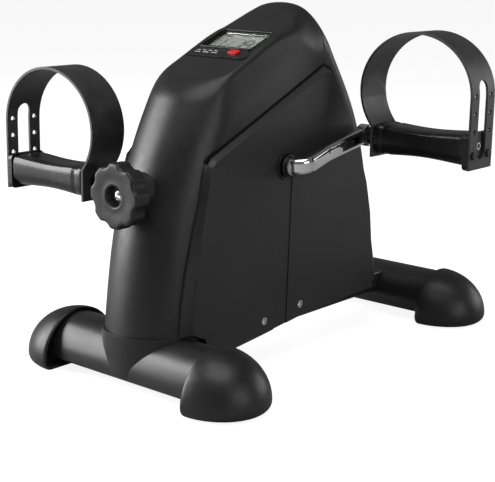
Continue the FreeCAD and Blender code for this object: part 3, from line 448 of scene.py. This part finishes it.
def softened(node, width):
    """The CAD shape of one node with its facets joined and its edges rounded."""
    mesh = frame["nodes"][node].data.copy()
    mesh.name = f"{node}_skin"
    work = bmesh.new()
    work.from_mesh(mesh)
    bmesh.ops.remove_doubles(work, verts=work.verts, dist=2 * SAME_PLACE)
    bmesh.ops.dissolve_limit(
        work, angle_limit=math.radians(FLAT_ANGLE), verts=work.verts, edges=work.edges, delimit=set()
    )
    bmesh.ops.recalc_face_normals(work, faces=work.faces)
    work.to_mesh(mesh)
    work.free()
    mesh.shade_smooth()
    piece = new_object(mesh.name, mesh, BODY_OF[node], SLOT_OF[node], [node])
    add_bevel(piece, width)


def dress_node(node):
    """Keep a CAD shape as it is, with its own material."""
    mesh = frame["nodes"][node].data
    mesh.materials.clear()
    mesh.materials.append(MATERIALS[SLOT_OF[node]])


# ---- housing ------------------------------------------------------------------------------------
SIDE_X = 44.0
NOSE_DEPTH = 39.8
REAR_CORNER = 16.0
WALL = 2.5
LEVELS = (20.0, 90.0, 145.0, 196.0, 244.0, 285.0, 330.0)
NOSE_Y = (-200.0, -192.8, -182.3, -164.7, -140.1, -114.3, -87.3)
BACK_Y = (117.0, 110.5, 96.8, 82.4, 55.1, 28.4, 22.7)
NOSE_LINE = np.polyfit(LEVELS, NOSE_Y, 5)
BACK_LINE = np.polyfit(LEVELS, BACK_Y, 5)
DECK_END = (-33.7, 292.4)
DECK_LINE = np.polyfit((-170.0, -130.0, -85.3, DECK_END[0]), (258.7, 254.0, 270.6, DECK_END[1]), 3)
DECK_END_SLOPE = np.polyval(np.polyder(DECK_LINE), DECK_END[0])
CROWN = (13.3, 320.4)
CROWN_SLOPE = 0.356
CROWN_ARCH_DROP, ARCH_AT_X = 16.85, 34.0
CROWN_FALL = 0.02
LEAN_OUT = 4.85
LEAN_AT = (9.0, 262.0)
LEAN_NORMAL = (0.972, -0.094, 0.215)
# slopes that keep the field close to a true distance on the nose, the deck and the crown
NOSE_SCALE, DECK_SCALE, CROWN_SCALE = 0.8, 0.93, 0.85
SIDE_ROUNDING, LID_ROUNDING, RIDGE_ROUNDING = 3.0, 9.8, 5.1
# how much rounder the ridge gets towards the nose and the back, and between which y values
RIDGE_MORE_AT_NOSE, NOSE_RIDGE_Y = 8.9, (-98.0, -132.0)
RIDGE_MORE_AT_BACK, BACK_RIDGE_Y = 12.8, (-30.0, 5.0)
UNDER_Y = (-138.0, -73.0, -19.0, 54.0, 140.0)
UNDER_Z = (27.0, 33.0, 39.0, 42.0, 44.0)
NOTCH_Y = -138.0
SADDLE_TOP = 48.0
SEAM_Y, SEAM_GROOVE = 14.0, 0.45
METER_LOW = np.array((0.0, -85.7, 271.5))
METER_TILT = math.radians(21.5)
METER_HALF = 33.0
METER_LONG = 55.5
METER_MARGIN, METER_DEEP = 3.0, 15.0


def smooth_step(value, start, stop):
    t = np.clip((value - start) / (stop - start), 0.0, 1.0)
    return t * t * (3 - 2 * t)


def smooth_max(a, b, k):
    """The larger of two distances, rounded where they meet."""
    h = np.maximum(k - np.abs(a - b), 0.0) / k
    return np.maximum(a, b) + h * h * k * 0.25


def top_line(y):
    """Height of the deck and crown along the middle of the machine."""
    deck = np.polyval(DECK_LINE, np.maximum(y, NOSE_Y[0]))
    span, rise = CROWN[0] - DECK_END[0], CROWN[1] - DECK_END[1]
    t = np.clip((y - DECK_END[0]) / span, 0.0, 1.0)
    hermite = (
        (t ** 3 - 2 * t ** 2 + t) * DECK_END_SLOPE * span
        + (-2 * t ** 3 + 3 * t ** 2) * rise
        + (t ** 3 - t ** 2) * CROWN_SLOPE * span
    )
    behind = np.maximum(y - CROWN[0], 0.0)
    crown = DECK_END[1] + hermite + CROWN_SLOPE * 0.6 * behind - CROWN_FALL * behind ** 2
    return np.where(y < DECK_END[0], deck, crown)


def housing_field(p):
    """Signed measure of the housing's outer surface, about zero on it and positive outside."""
    x, y, z = np.abs(p[:, 0]), p[:, 1], p[:, 2]
    nose = np.polyval(NOSE_LINE, z)
    back = np.polyval(BACK_LINE, z)
    shoulder = nose + NOSE_DEPTH
    forward = np.maximum(shoulder - y, 0.0) / NOSE_DEPTH
    front = (np.hypot(x / SIDE_X, forward) - 1.0) * SIDE_X * NOSE_SCALE
    qx, qy = x - (SIDE_X - REAR_CORNER), y - (back - REAR_CORNER)
    rear = np.hypot(np.maximum(qx, 0), np.maximum(qy, 0)) + np.minimum(np.maximum(qx, qy), 0) - REAR_CORNER
    plan = np.where(y < shoulder, front, rear)
    nx, ny, nz = LEAN_NORMAL
    lean = nx * (x - SIDE_X - LEAN_OUT) + ny * (y - LEAN_AT[0]) + nz * (z - LEAN_AT[1])
    sides = smooth_max(plan, lean, SIDE_ROUNDING)
    top = (z - top_line(y)) * DECK_SCALE
    arch = (z - CROWN[1] + CROWN_ARCH_DROP * (x / ARCH_AT_X) ** 2) * CROWN_SCALE
    lid = smooth_max(top, arch, LID_ROUNDING)
    ridge = (
        RIDGE_ROUNDING
        + RIDGE_MORE_AT_NOSE * smooth_step(y, *NOSE_RIDGE_Y)
        + RIDGE_MORE_AT_BACK * smooth_step(y, *BACK_RIDGE_Y)
    )
    return smooth_max(sides, lid, ridge)


def field_normals(p):
    """Outward directions of the field, from small steps along each axis."""
    step = 0.05
    gradient = np.empty_like(p)
    for axis in range(3):
        shift = np.zeros(3)
        shift[axis] = step
        gradient[:, axis] = housing_field(p + shift) - housing_field(p - shift)
    return gradient / np.maximum(np.linalg.norm(gradient, axis=1, keepdims=True), 1e-9)


def cast(origins, directions):
    """Where rays from inside meet the housing's surface."""
    near, far = np.zeros(len(origins)), np.full(len(origins), 260.0)
    for _ in range(40):
        middle = (near + far) / 2
        inside = housing_field(origins + directions * middle[:, None]) < 0
        near = np.where(inside, middle, near)
        far = np.where(inside, far, middle)
    return origins + directions * far[:, None]


def plan_angles(count, centre_y):
    """Bearings of evenly spaced points round the housing's plan."""
    nose, back = -186.0, 97.0
    arc = np.linspace(-math.pi / 2, math.pi / 2, 90)
    nose_arc = np.stack([SIDE_X * np.sin(arc), nose + NOSE_DEPTH * (1 - np.cos(arc))], 1)
    corner = np.linspace(0, math.pi / 2, 14)
    in_x, in_y = SIDE_X - REAR_CORNER, back - REAR_CORNER
    right = np.stack([in_x + REAR_CORNER * np.cos(corner), in_y + REAR_CORNER * np.sin(corner)], 1)
    left = right[::-1] * (-1, 1)
    loop = np.concatenate([nose_arc, right, left, nose_arc[:1]])
    length = np.concatenate([[0], np.cumsum(np.linalg.norm(np.diff(loop, axis=0), axis=1))])
    at = np.linspace(0, length[-1], count, endpoint=False)
    x, y = np.interp(at, length, loop[:, 0]), np.interp(at, length, loop[:, 1])
    return np.arctan2(y - centre_y, x)


def underside(y):
    """Height of the housing's lower edge."""
    return np.where(y < NOTCH_Y, SADDLE_TOP, np.interp(y, UNDER_Y, UNDER_Z))


def in_meter_space(p):
    """Coordinates across, up and out of the meter's face."""
    d = p - METER_LOW
    c, s = math.cos(METER_TILT), math.sin(METER_TILT)
    return np.stack([d[:, 0], d[:, 1] * c + d[:, 2] * s, -d[:, 1] * s + d[:, 2] * c], 1)


def housing_points():
    """Grid of points over the housing: level rows up the walls, then rows that close over the top."""
    columns, wall_rows, top_rows = 360, 84, 84
    centre_y, knee = -45.0, 222.0
    bearing = plan_angles(columns, centre_y)
    level = np.stack([np.cos(bearing), np.sin(bearing), np.zeros(columns)], 1)
    origin = np.zeros((columns, 3))
    origin[:, 1] = centre_y
    low = np.full(columns, 35.0)
    for _ in range(4):
        origin[:, 2] = low
        low = underside(cast(origin, level)[:, 1])
    rows = []
    for k in range(wall_rows):
        origin[:, 2] = low + (knee - low) * k / wall_rows
        rows.append(cast(origin, level))
    origin[:, 2] = knee
    for k in range(top_rows):
        rise = math.pi / 2 * k / top_rows
        rows.append(cast(origin, level * math.cos(rise) + np.array((0, 0, math.sin(rise)))))
    pole = cast(origin[:1], np.array([[0.0, 0.0, 1.0]]))
    return np.array(rows), pole


def make_housing():
    """Front and rear mouldings, parted by a fine seam over the crown."""
    rows, pole = housing_points()
    height, width = rows.shape[:2]
    points = np.concatenate([rows.reshape(-1, 3), pole])
    faces = []
    for k in range(height - 1):
        faces += ring_strip(k * width, (k + 1) * width, width)
    last = (height - 1) * width
    faces += [(last + k, last + (k + 1) % width, height * width) for k in range(width)]
    whole = mesh_from("housing", points, faces)
    for node, keep_front in (("front_housing", True), ("rear_housing", False)):
        work = bmesh.new()
        work.from_mesh(whole)
        cut = bmesh.ops.bisect_plane(
            work, geom=work.verts[:] + work.edges[:] + work.faces[:], dist=SAME_PLACE,
            plane_co=(0, SEAM_Y * MM, 0), plane_no=(0, 1, 0),
            clear_outer=keep_front, clear_inner=not keep_front,
        )
        seam = {g for g in cut["geom_cut"] if isinstance(g, bmesh.types.BMVert)}
        centres = np.array([f.calc_center_median() for f in work.faces]) / MM
        u, v, w = in_meter_space(centres).T
        across = np.abs(u) < METER_HALF - METER_MARGIN
        along = (v > METER_MARGIN) & (v < METER_LONG - METER_MARGIN)
        hidden = across & along & (w > -METER_DEEP)
        gone = [f for f, under in zip(work.faces[:], hidden) if under]
        bmesh.ops.delete(work, geom=gone, context="FACES")
        line_shell(work, seam)
        mesh = bpy.data.meshes.new(f"{node}_skin")
        work.to_mesh(mesh)
        work.free()
        shade_by_field(mesh)
        new_object(mesh.name, mesh, BODY_OF[node], SLOT_OF[node], [node])


def line_shell(work, seam):
    """Give the skin its wall thickness: an inner skin, and rims along every open edge."""
    coordinates = np.array([v.co for v in work.verts]) / MM
    normals = field_normals(coordinates)
    outer = work.verts[:]
    outer_faces = work.faces[:]
    open_edges = [e for e in work.edges if len(e.link_faces) == 1]
    inner = [work.verts.new((c - n * WALL) * MM) for c, n in zip(coordinates, normals)]
    twin = dict(zip(outer, inner))
    for face in outer_faces:
        work.faces.new([twin[v] for v in reversed(face.verts)])
    for edge in open_edges:
        a, b = edge.verts
        work.faces.new((b, a, twin[a], twin[b]))
    for vertex, normal in zip(outer, normals):
        if vertex in seam:
            vertex.co -= Vector(normal) * SEAM_GROOVE * MM
    bmesh.ops.recalc_face_normals(work, faces=work.faces)


def shade_by_field(mesh):
    """Exact normals on the outer skin, plain ones on rims and inside."""
    mesh.shade_smooth()
    points = np.array([v.co for v in mesh.vertices]) / MM
    exact = field_normals(points)
    depth = housing_field(points)
    split = []
    for polygon in mesh.polygons:
        on_skin = all(depth[i] > -0.3 for i in polygon.vertices)
        for index in polygon.vertices:
            split.append(tuple(exact[index]) if on_skin else tuple(polygon.normal))
    mesh.normals_split_custom_set(split)


# ---- stabiliser feet ----------------------------------------------------------------------------
TUBE_Y = 170.0
CAP_LIP, CAP_REACH, CAP_HALF_DEPTH = 80.0, 50.0, 42.0
CAP_TOP, CAP_WIDEST_Z = 50.0, 8.5
CAP_RECESS, CAP_WALL = 9.0, 3.4


def cap_profile(inset):
    """Half outline of the cap's mouth, from the middle of its foot over its side to its top."""
    foot_steps, round_steps, dome_steps = 3, 8, 40
    wide, low = CAP_HALF_DEPTH - inset, inset
    rounding, rise = CAP_WIDEST_Z - inset, CAP_TOP - inset - CAP_WIDEST_Z
    points = [((wide - rounding) * k / foot_steps, low) for k in range(foot_steps)]
    for k in range(round_steps):
        t = math.pi / 2 * k / round_steps
        points.append((wide - rounding * (1 - math.sin(t)), CAP_WIDEST_Z - rounding * math.cos(t)))
    for k in range(dome_steps + 1):
        t = math.pi / 2 * k / dome_steps
        points.append((wide * math.cos(t), CAP_WIDEST_Z + rise * math.sin(t)))
    return points


def make_cap(end, y, name, side):
    """Flared dome with a rounded rim, hollow round the tube at its mouth."""
    rim, turn_steps = CAP_WALL / 2, 56
    mouth = [(CAP_LIP + CAP_RECESS, CAP_WALL), (CAP_LIP + rim + 0.6, CAP_WALL)]
    for k in range(7):
        t = math.pi / 6 * k
        mouth.append((CAP_LIP + rim * (1 - math.sin(t)), rim * (1 + math.cos(t))))
    outlines = [(x, cap_profile(inset)) for x, inset in mouth]
    dome = cap_profile(0.0)
    rings = []
    for row, (radius, z) in enumerate(dome):
        near = [(x, -outline[row][0], outline[row][1]) for x, outline in outlines]
        around = []
        for k in range(1, turn_steps):
            t = math.pi * k / turn_steps
            reach = CAP_REACH * radius / CAP_HALF_DEPTH
            around.append((CAP_LIP + rim + (reach - rim) * math.sin(t), -radius * math.cos(t), z))
        far = [(x, -across, height) for x, across, height in reversed(near)]
        rings.append([(side * px, py + y, pz) for px, py, pz in near + around + far])
    node = f"cap_{end}_{name}"
    mesh = tube_of_rings(f"{node}_skin", rings, cap_start=False, cap_end=False)
    new_object(mesh.name, mesh, BODY_OF[node], SLOT_OF[node], [node])


# ---- tension knob -------------------------------------------------------------------------------
KNOB_Z = 166.0
KNOB_R, KNOB_MEAN_R = 27.2, 23.0
KNOB_FRONT, KNOB_BACK, KNOB_SKIRT_BACK = -205.0, -190.0, -188.8
KNOB_RECESS_FLOOR = KNOB_FRONT + 7.9
KNOB_LOBES = 8
SCALLOP_R, SCALLOP_REACH, SCALLOP_SOFTNESS = 9.0, 33.6, 1.6


def lobed_radius(angle):
    """Radius of the knob's scalloped rim at an angle."""
    pitch = 2 * math.pi / KNOB_LOBES
    off = (angle + pitch / 2) % pitch - pitch / 2
    off = abs(abs(off) - pitch / 2)
    under = SCALLOP_R ** 2 - (SCALLOP_REACH * math.sin(off)) ** 2
    if under <= 0:
        return KNOB_R
    scallop = SCALLOP_REACH * math.cos(off) - math.sqrt(under)
    h = max(SCALLOP_SOFTNESS - abs(KNOB_R - scallop), 0.0) / SCALLOP_SOFTNESS
    return min(KNOB_R, scallop) - h * h * SCALLOP_SOFTNESS * 0.25


def make_tension_knob():
    """Scalloped knob with a round skirt behind it and a recess for its screw in front."""
    count = 384
    angles = [2 * math.pi * k / count for k in range(count)]
    lobes = [lobed_radius(a) for a in angles]
    # how far in from the rim, how round, and how far forward each ring is
    profile = [
        (17.0, 1.0, KNOB_SKIRT_BACK), (9.4, 1.0, KNOB_SKIRT_BACK), (8.6, 1.0, KNOB_SKIRT_BACK - 0.8),
        (8.6, 1.0, KNOB_BACK - 0.2), (2.2, 0.25, KNOB_BACK + 0.1), (0.9, 0.0, KNOB_BACK + 0.2),
        (0.25, 0.0, KNOB_BACK - 0.2), (0.0, 0.0, KNOB_BACK - 0.9), (0.0, 0.0, KNOB_BACK - 3.0),
        (0.0, 0.0, KNOB_FRONT + 2.4), (0.12, 0.0, KNOB_FRONT + 1.6), (0.5, 0.0, KNOB_FRONT + 0.9),
        (1.1, 0.0, KNOB_FRONT + 0.35), (1.9, 0.02, KNOB_FRONT + 0.05), (3.0, 0.08, KNOB_FRONT),
        (4.6, 0.35, KNOB_FRONT + 0.1), (6.2, 0.75, KNOB_FRONT + 0.3), (8.0, 1.0, KNOB_FRONT + 0.5),
        (11.0, 1.0, KNOB_FRONT + 0.6), (12.4, 1.0, KNOB_FRONT + 0.4), (13.4, 1.0, KNOB_FRONT + 0.4),
        (14.1, 1.0, KNOB_FRONT + 0.9), (14.5, 1.0, KNOB_FRONT + 1.8),
        (14.8, 1.0, KNOB_RECESS_FLOOR - 0.5), (15.4, 1.0, KNOB_RECESS_FLOOR), (22.9, 1.0, KNOB_RECESS_FLOOR),
    ]
    rings = []
    for inset, roundness, y in profile:
        radii = [(1 - roundness) * lobe + roundness * KNOB_MEAN_R - inset for lobe in lobes]
        rings.append([(r * math.cos(a), y, KNOB_Z + r * math.sin(a)) for r, a in zip(radii, angles)])
    mesh = tube_of_rings("tension_knob_skin", rings)
    new_object(mesh.name, mesh, BODY_OF["tension_knob"], "knob_plastic", ["tension_knob"])


# ---- side covers --------------------------------------------------------------------------------
# where the cover's bevel meets the flank, from its front corner over the top and down the back
COVER_EDGE = (
    (-141.0, 190.0), (-136.0, 194.6), (-71.0, 222.9), (14.0, 260.5), (22.0, 257.5), (36.0, 238.0),
    (63.0, 196.0), (83.0, 148.0), (91.0, 118.0), (98.0, 65.0),
)
GAP_WIDE, GAP_UNDER, GAP_LIFT, GAP_ROOT = 2.8, 0.4, 0.12, 0.5


def make_cover_gap_shade(name, side):
    """Painted shade of the gap round the side cover: a near-black ribbon laid on the flank."""
    near = [np.array(point) for point in COVER_EDGE]
    rings = []
    for k, point in enumerate(near):
        along = near[min(k + 1, len(near) - 1)] - near[max(k - 1, 0)]
        outward = np.array((-along[1], along[0])) / np.linalg.norm(along)
        inner, outer = point - outward * GAP_UNDER, point + outward * GAP_WIDE
        rings.append([
            (side * (SIDE_X - GAP_ROOT), *inner), (side * (SIDE_X + GAP_LIFT), *inner),
            (side * (SIDE_X + GAP_LIFT), *outer), (side * (SIDE_X - GAP_ROOT), *outer),
        ])
    mesh = tube_of_rings(f"cover_gap_{name}", rings)
    mesh.shade_flat()
    # the ribbon's near-black colour is painted shade of the gap
    new_object(mesh.name, mesh, "base", "inner_plastic", material=PAINTED_GAP_SHADE)


# ---- meter --------------------------------------------------------------------------------------
DIGITS_MIDDLE = 31.0
DIGIT_HIGH, DIGIT_WIDE, STROKE, DIGIT_SLANT = 15.0, 8.4, 1.9, 0.06
SEGMENTS_ON = {"1": "bc", "8": "abcdefg"}
DIGITS = (("1", -19.5), ("1", 1.6), ("8", 12.6))
COLON_U, COLON_V, COLON_HALF = -5.8, 3.6, 1.0
ICON_LOW, ARROW_HIGH, BATTERY_HIGH = 44.0, 46.4, 46.2
LCD_FACE, CASE_FACE = -3.2, 0.0
MARK_THICK = 0.12


def meter_point(u, v, w):
    """A point given across, up and out of the meter's face, in the machine's space."""
    c, s = math.cos(METER_TILT), math.sin(METER_TILT)
    return METER_LOW + np.array((u, v * c - w * s, v * s + w * c))


def plate_of_outline(points, faces, outline, place):
    """Add a thin plate with this flat outline; place turns (a, b, layer 0 or 1) into space."""
    first, count = len(points), len(outline)
    points += [place(a, b, 0) for a, b in outline] + [place(a, b, 1) for a, b in outline]
    faces.append(tuple(range(first + count - 1, first - 1, -1)))
    faces.append(tuple(range(first + count, first + 2 * count)))
    faces += ring_strip(first, first + count, count)


def flat_marks(name, outlines, place, body, slot, material):
    """One piece made of thin plates, such as printed marks."""
    points, faces = [], []
    for outline in outlines:
        plate_of_outline(points, faces, outline, place)
    mesh = mesh_from(name, points, faces)
    mesh.shade_flat()
    tidy_normals(mesh)
    new_object(name, mesh, body, slot, material=material)


def on_meter(face):
    """Places marks on a face of the meter at this height."""
    return lambda u, v, layer: meter_point(u, v, face + MARK_THICK * layer)


def segment_outline(letter):
    """One lit bar of a seven-segment digit, pointed at both ends, about the digit's centre."""
    half_w, half_h, gap = DIGIT_WIDE / 2, DIGIT_HIGH / 2, 0.25
    upright = {"b": (half_w, half_h / 2), "c": (half_w, -half_h / 2), "e": (-half_w, -half_h / 2),
               "f": (-half_w, half_h / 2)}
    level = {"a": half_h, "g": 0.0, "d": -half_h}
    thick = STROKE / 2
    if letter in upright:
        x, y = upright[letter]
        reach = half_h / 2 - gap
        return [(x, y + reach), (x + thick, y + reach - thick), (x + thick, y - reach + thick),
                (x, y - reach), (x - thick, y - reach + thick), (x - thick, y + reach - thick)]
    y, reach = level[letter], half_w - gap
    return [(-reach, y), (-reach + thick, y + thick), (reach - thick, y + thick),
            (reach, y), (reach - thick, y - thick), (-reach + thick, y - thick)]


def bar(u0, u1, v0, v1):
    """Outline of a level bar."""
    return [(u0, v0), (u1, v0), (u1, v1), (u0, v1)]


def make_meter_marks():
    """A time on the display, and plain dashes where a label would be printed."""
    digits = []
    for digit, centre in DIGITS:
        for letter in SEGMENTS_ON[digit]:
            digits.append([
                (centre + u + DIGIT_SLANT * v, DIGITS_MIDDLE + v) for u, v in segment_outline(letter)
            ])
    for v in (DIGITS_MIDDLE - COLON_V, DIGITS_MIDDLE + COLON_V):
        digits.append(bar(COLON_U - COLON_HALF, COLON_U + COLON_HALF, v - COLON_HALF, v + COLON_HALF))
    digits.append([(-1.4, ICON_LOW), (1.4, ICON_LOW), (0.0, ARROW_HIGH)])
    digits.append(bar(-22.0, -15.0, ICON_LOW, BATTERY_HIGH))
    flat_marks("lcd_digits", digits, on_meter(LCD_FACE), "base", "lcd_glass", LCD_SEGMENTS)
    dashes = [bar(u, u + 4.2, 9.9, 10.8) for u in (-27.0, -20.5, -14.0, -7.5)]
    dashes += [bar(u, u + 6.4, 6.4, 7.3) for u in (-27.0, -17.5, -8.0)]
    dashes += [bar(u, u + 2.6, 52.6, 53.8) for u in (-2.0, 4.0, 10.0, 16.0, 22.0)]
    flat_marks("meter_print", dashes, on_meter(CASE_FACE), "base", "meter_plastic", WHITE_PRINT)


def make_meter_gap_shade():
    """Near-black ring in the gap between the meter and the deck: painted shade of that gap."""
    steps, corner, wide, low, high = 10, 5.6, 1.3, -3.0, -0.7
    rings = []
    for reach, w in ((0.0, low), (wide, low), (wide, high), (0.0, high)):
        ring = []
        u1, v0, v1 = METER_HALF + reach, -reach, METER_LONG + reach
        for u, v, start in ((u1, v1, 0), (-u1, v1, 90), (-u1, v0, 180), (u1, v0, 270)):
            cu, cv = u - math.copysign(corner, u), v - (corner if start < 180 else -corner)
            for k in range(steps + 1):
                t = math.radians(start + 90 * k / steps)
                ring.append(meter_point(cu + corner * math.cos(t), cv + corner * math.sin(t), w))
        rings.append(ring)
    rings.append(rings[0])
    mesh = tube_of_rings("meter_gap_shade_ring", rings, cap_start=False, cap_end=False)
    # the ring's near-black colour is painted shade of the gap under the meter
    new_object(mesh.name, mesh, "base", "inner_plastic", material=PAINTED_GAP_SHADE)


# ---- pedals -------------------------------------------------------------------------------------
AXLE_Y, AXLE_Z, CRANK_RADIUS = -44.0, 178.0, 102.0
CRANK_ANGLE = math.radians(10.2)
PEDAL_IN, PEDAL_OUT, END_CAP_OUT = 84.0, 176.5, 181.0
PEDAL_HALF_DEPTH, PEDAL_HALF_HEIGHT = 18.6, 14.5
PEDAL_WAIST_Y, PEDAL_WAIST_Z = 0.9, 2.2
PEDAL_TREADS, TREAD_DEEP = 7, 0.45
BAND_START, BAND_END, BAND_DEEP = 8.0, 12.0, 0.7
INNER_ROUND, OUTER_ROUND = 1.6, 1.0


def pedal_axis(side):
    """Where the pedal's spindle lies, as y and z."""
    reach = side * CRANK_RADIUS
    return AXLE_Y + reach * math.cos(CRANK_ANGLE), AXLE_Z + reach * math.sin(CRANK_ANGLE)


def pedal_ring(x, side, inset=0.0):
    """Section of the pedal: a flat tread on top with crisp shoulders, and full round flanks below."""
    count = 96
    along = (x - PEDAL_IN) / (PEDAL_OUT - PEDAL_IN)
    waist = math.sin(math.pi * along) ** 1.5
    half_y = PEDAL_HALF_DEPTH - PEDAL_WAIST_Y * waist - inset
    half_z = PEDAL_HALF_HEIGHT - PEDAL_WAIST_Z * waist - inset
    ring = []
    for k in range(count):
        t = 2 * math.pi * k / count
        c, s = math.cos(t), math.sin(t)
        power = 2 / 5.5 if s > 0 else 2 / 3.0
        y = half_y * math.copysign(abs(c) ** power, c)
        z = half_z * math.copysign(abs(s) ** power, s)
        if s > 0.75:
            z -= TREAD_DEEP * (0.5 - 0.5 * math.cos(math.pi * PEDAL_TREADS * y / half_y))
        ring.append((side * x, y, z))
    axis_y, axis_z = pedal_axis(side)
    return [(px, axis_y + y, axis_z + z) for px, y, z in ring]


def make_pedal_body(name, side):
    """Waisted block with rounded ends and a recessed band beside the crank."""
    round_steps, steps = 4, 40
    rings = [pedal_ring(PEDAL_IN, side, 6.0), pedal_ring(PEDAL_IN, side, INNER_ROUND)]
    for k in range(1, round_steps + 1):
        t = math.pi / 2 * k / round_steps
        x = PEDAL_IN + INNER_ROUND * (1 - math.cos(t))
        rings.append(pedal_ring(x, side, INNER_ROUND * (1 - math.sin(t))))
    for k in range(1, steps):
        away = INNER_ROUND + (PEDAL_OUT - PEDAL_IN - 2 * INNER_ROUND) * k / steps
        sunk = BAND_DEEP if BAND_START < away < BAND_END else 0.0
        rings.append(pedal_ring(PEDAL_IN + away, side, sunk))
    for k in range(round_steps, -1, -1):
        t = math.pi / 2 * k / round_steps
        x = PEDAL_OUT - OUTER_ROUND * (1 - math.cos(t))
        rings.append(pedal_ring(x, side, OUTER_ROUND * (1 - math.sin(t))))
    node = f"pedal_body_{name}"
    mesh = tube_of_rings(f"{node}_skin", rings)
    new_object(mesh.name, mesh, BODY_OF[node], SLOT_OF[node], [node])


def make_side_mark(name, side):
    """Plain white ring on the pedal's end, where a side letter would be."""
    axis_y, axis_z = pedal_axis(side)
    steps, outer, inner, centre_z = 28, 3.4, 2.1, 3.0

    def place(y, z, layer):
        return side * (END_CAP_OUT + MARK_THICK * layer), axis_y + y, axis_z + centre_z + z

    quads = []
    for k in range(steps):
        a, b = 2 * math.pi * k / steps, 2 * math.pi * (k + 1) / steps
        quads.append([
            (inner * math.cos(a), inner * math.sin(a)), (outer * math.cos(a), outer * math.sin(a)),
            (outer * math.cos(b), outer * math.sin(b)), (inner * math.cos(b), inner * math.sin(b)),
        ])
    flat_marks(f"pedal_mark_{name}", quads, place, f"pedal_{name}", "pedal_plastic", WHITE_PRINT)


# ---- everything ---------------------------------------------------------------------------------
# how far the edges of each CAD shape are rounded
SOFT_EDGES = {
    "front_saddle": 1.2, "side_cover_right": 1.0, "side_cover_left": 1.0,
    "slot_strip_right": 0.4, "slot_strip_left": 0.4, "knob_bushing": 0.8,
    "axle_grommet_right": 0.4, "axle_grommet_left": 0.4, "axle_sleeve_right": 0.8, "axle_sleeve_left": 0.8,
    "crank_arm_right": 0.8, "crank_arm_left": 0.8, "pedal_spindle_right": 0.6, "pedal_spindle_left": 0.6,
    "pedal_end_cap_right": 1.0, "pedal_end_cap_left": 1.0,
    "pedal_strap_right": 0.5, "pedal_strap_left": 0.5, "strap_pegs_right": 0.4, "strap_pegs_left": 0.4,
    "meter_case": 0.8, "meter_frame": 0.4, "meter_button": 0.5, "spine_frame": 0.6,
}


def build():
    make_camera()
    make_studio()
    for node in frame["nodes"]:
        dress_node(node)
    make_housing()
    for end, y in (("front", -TUBE_Y), ("rear", TUBE_Y)):
        for name, side in SIDES:
            make_cap(end, y, name, side)
    make_tension_knob()
    make_meter_marks()
    make_meter_gap_shade()
    for name, side in SIDES:
        make_cover_gap_shade(name, side)
        make_pedal_body(name, side)
        make_side_mark(name, side)
    for node, width in SOFT_EDGES.items():
        softened(node, width)


build()
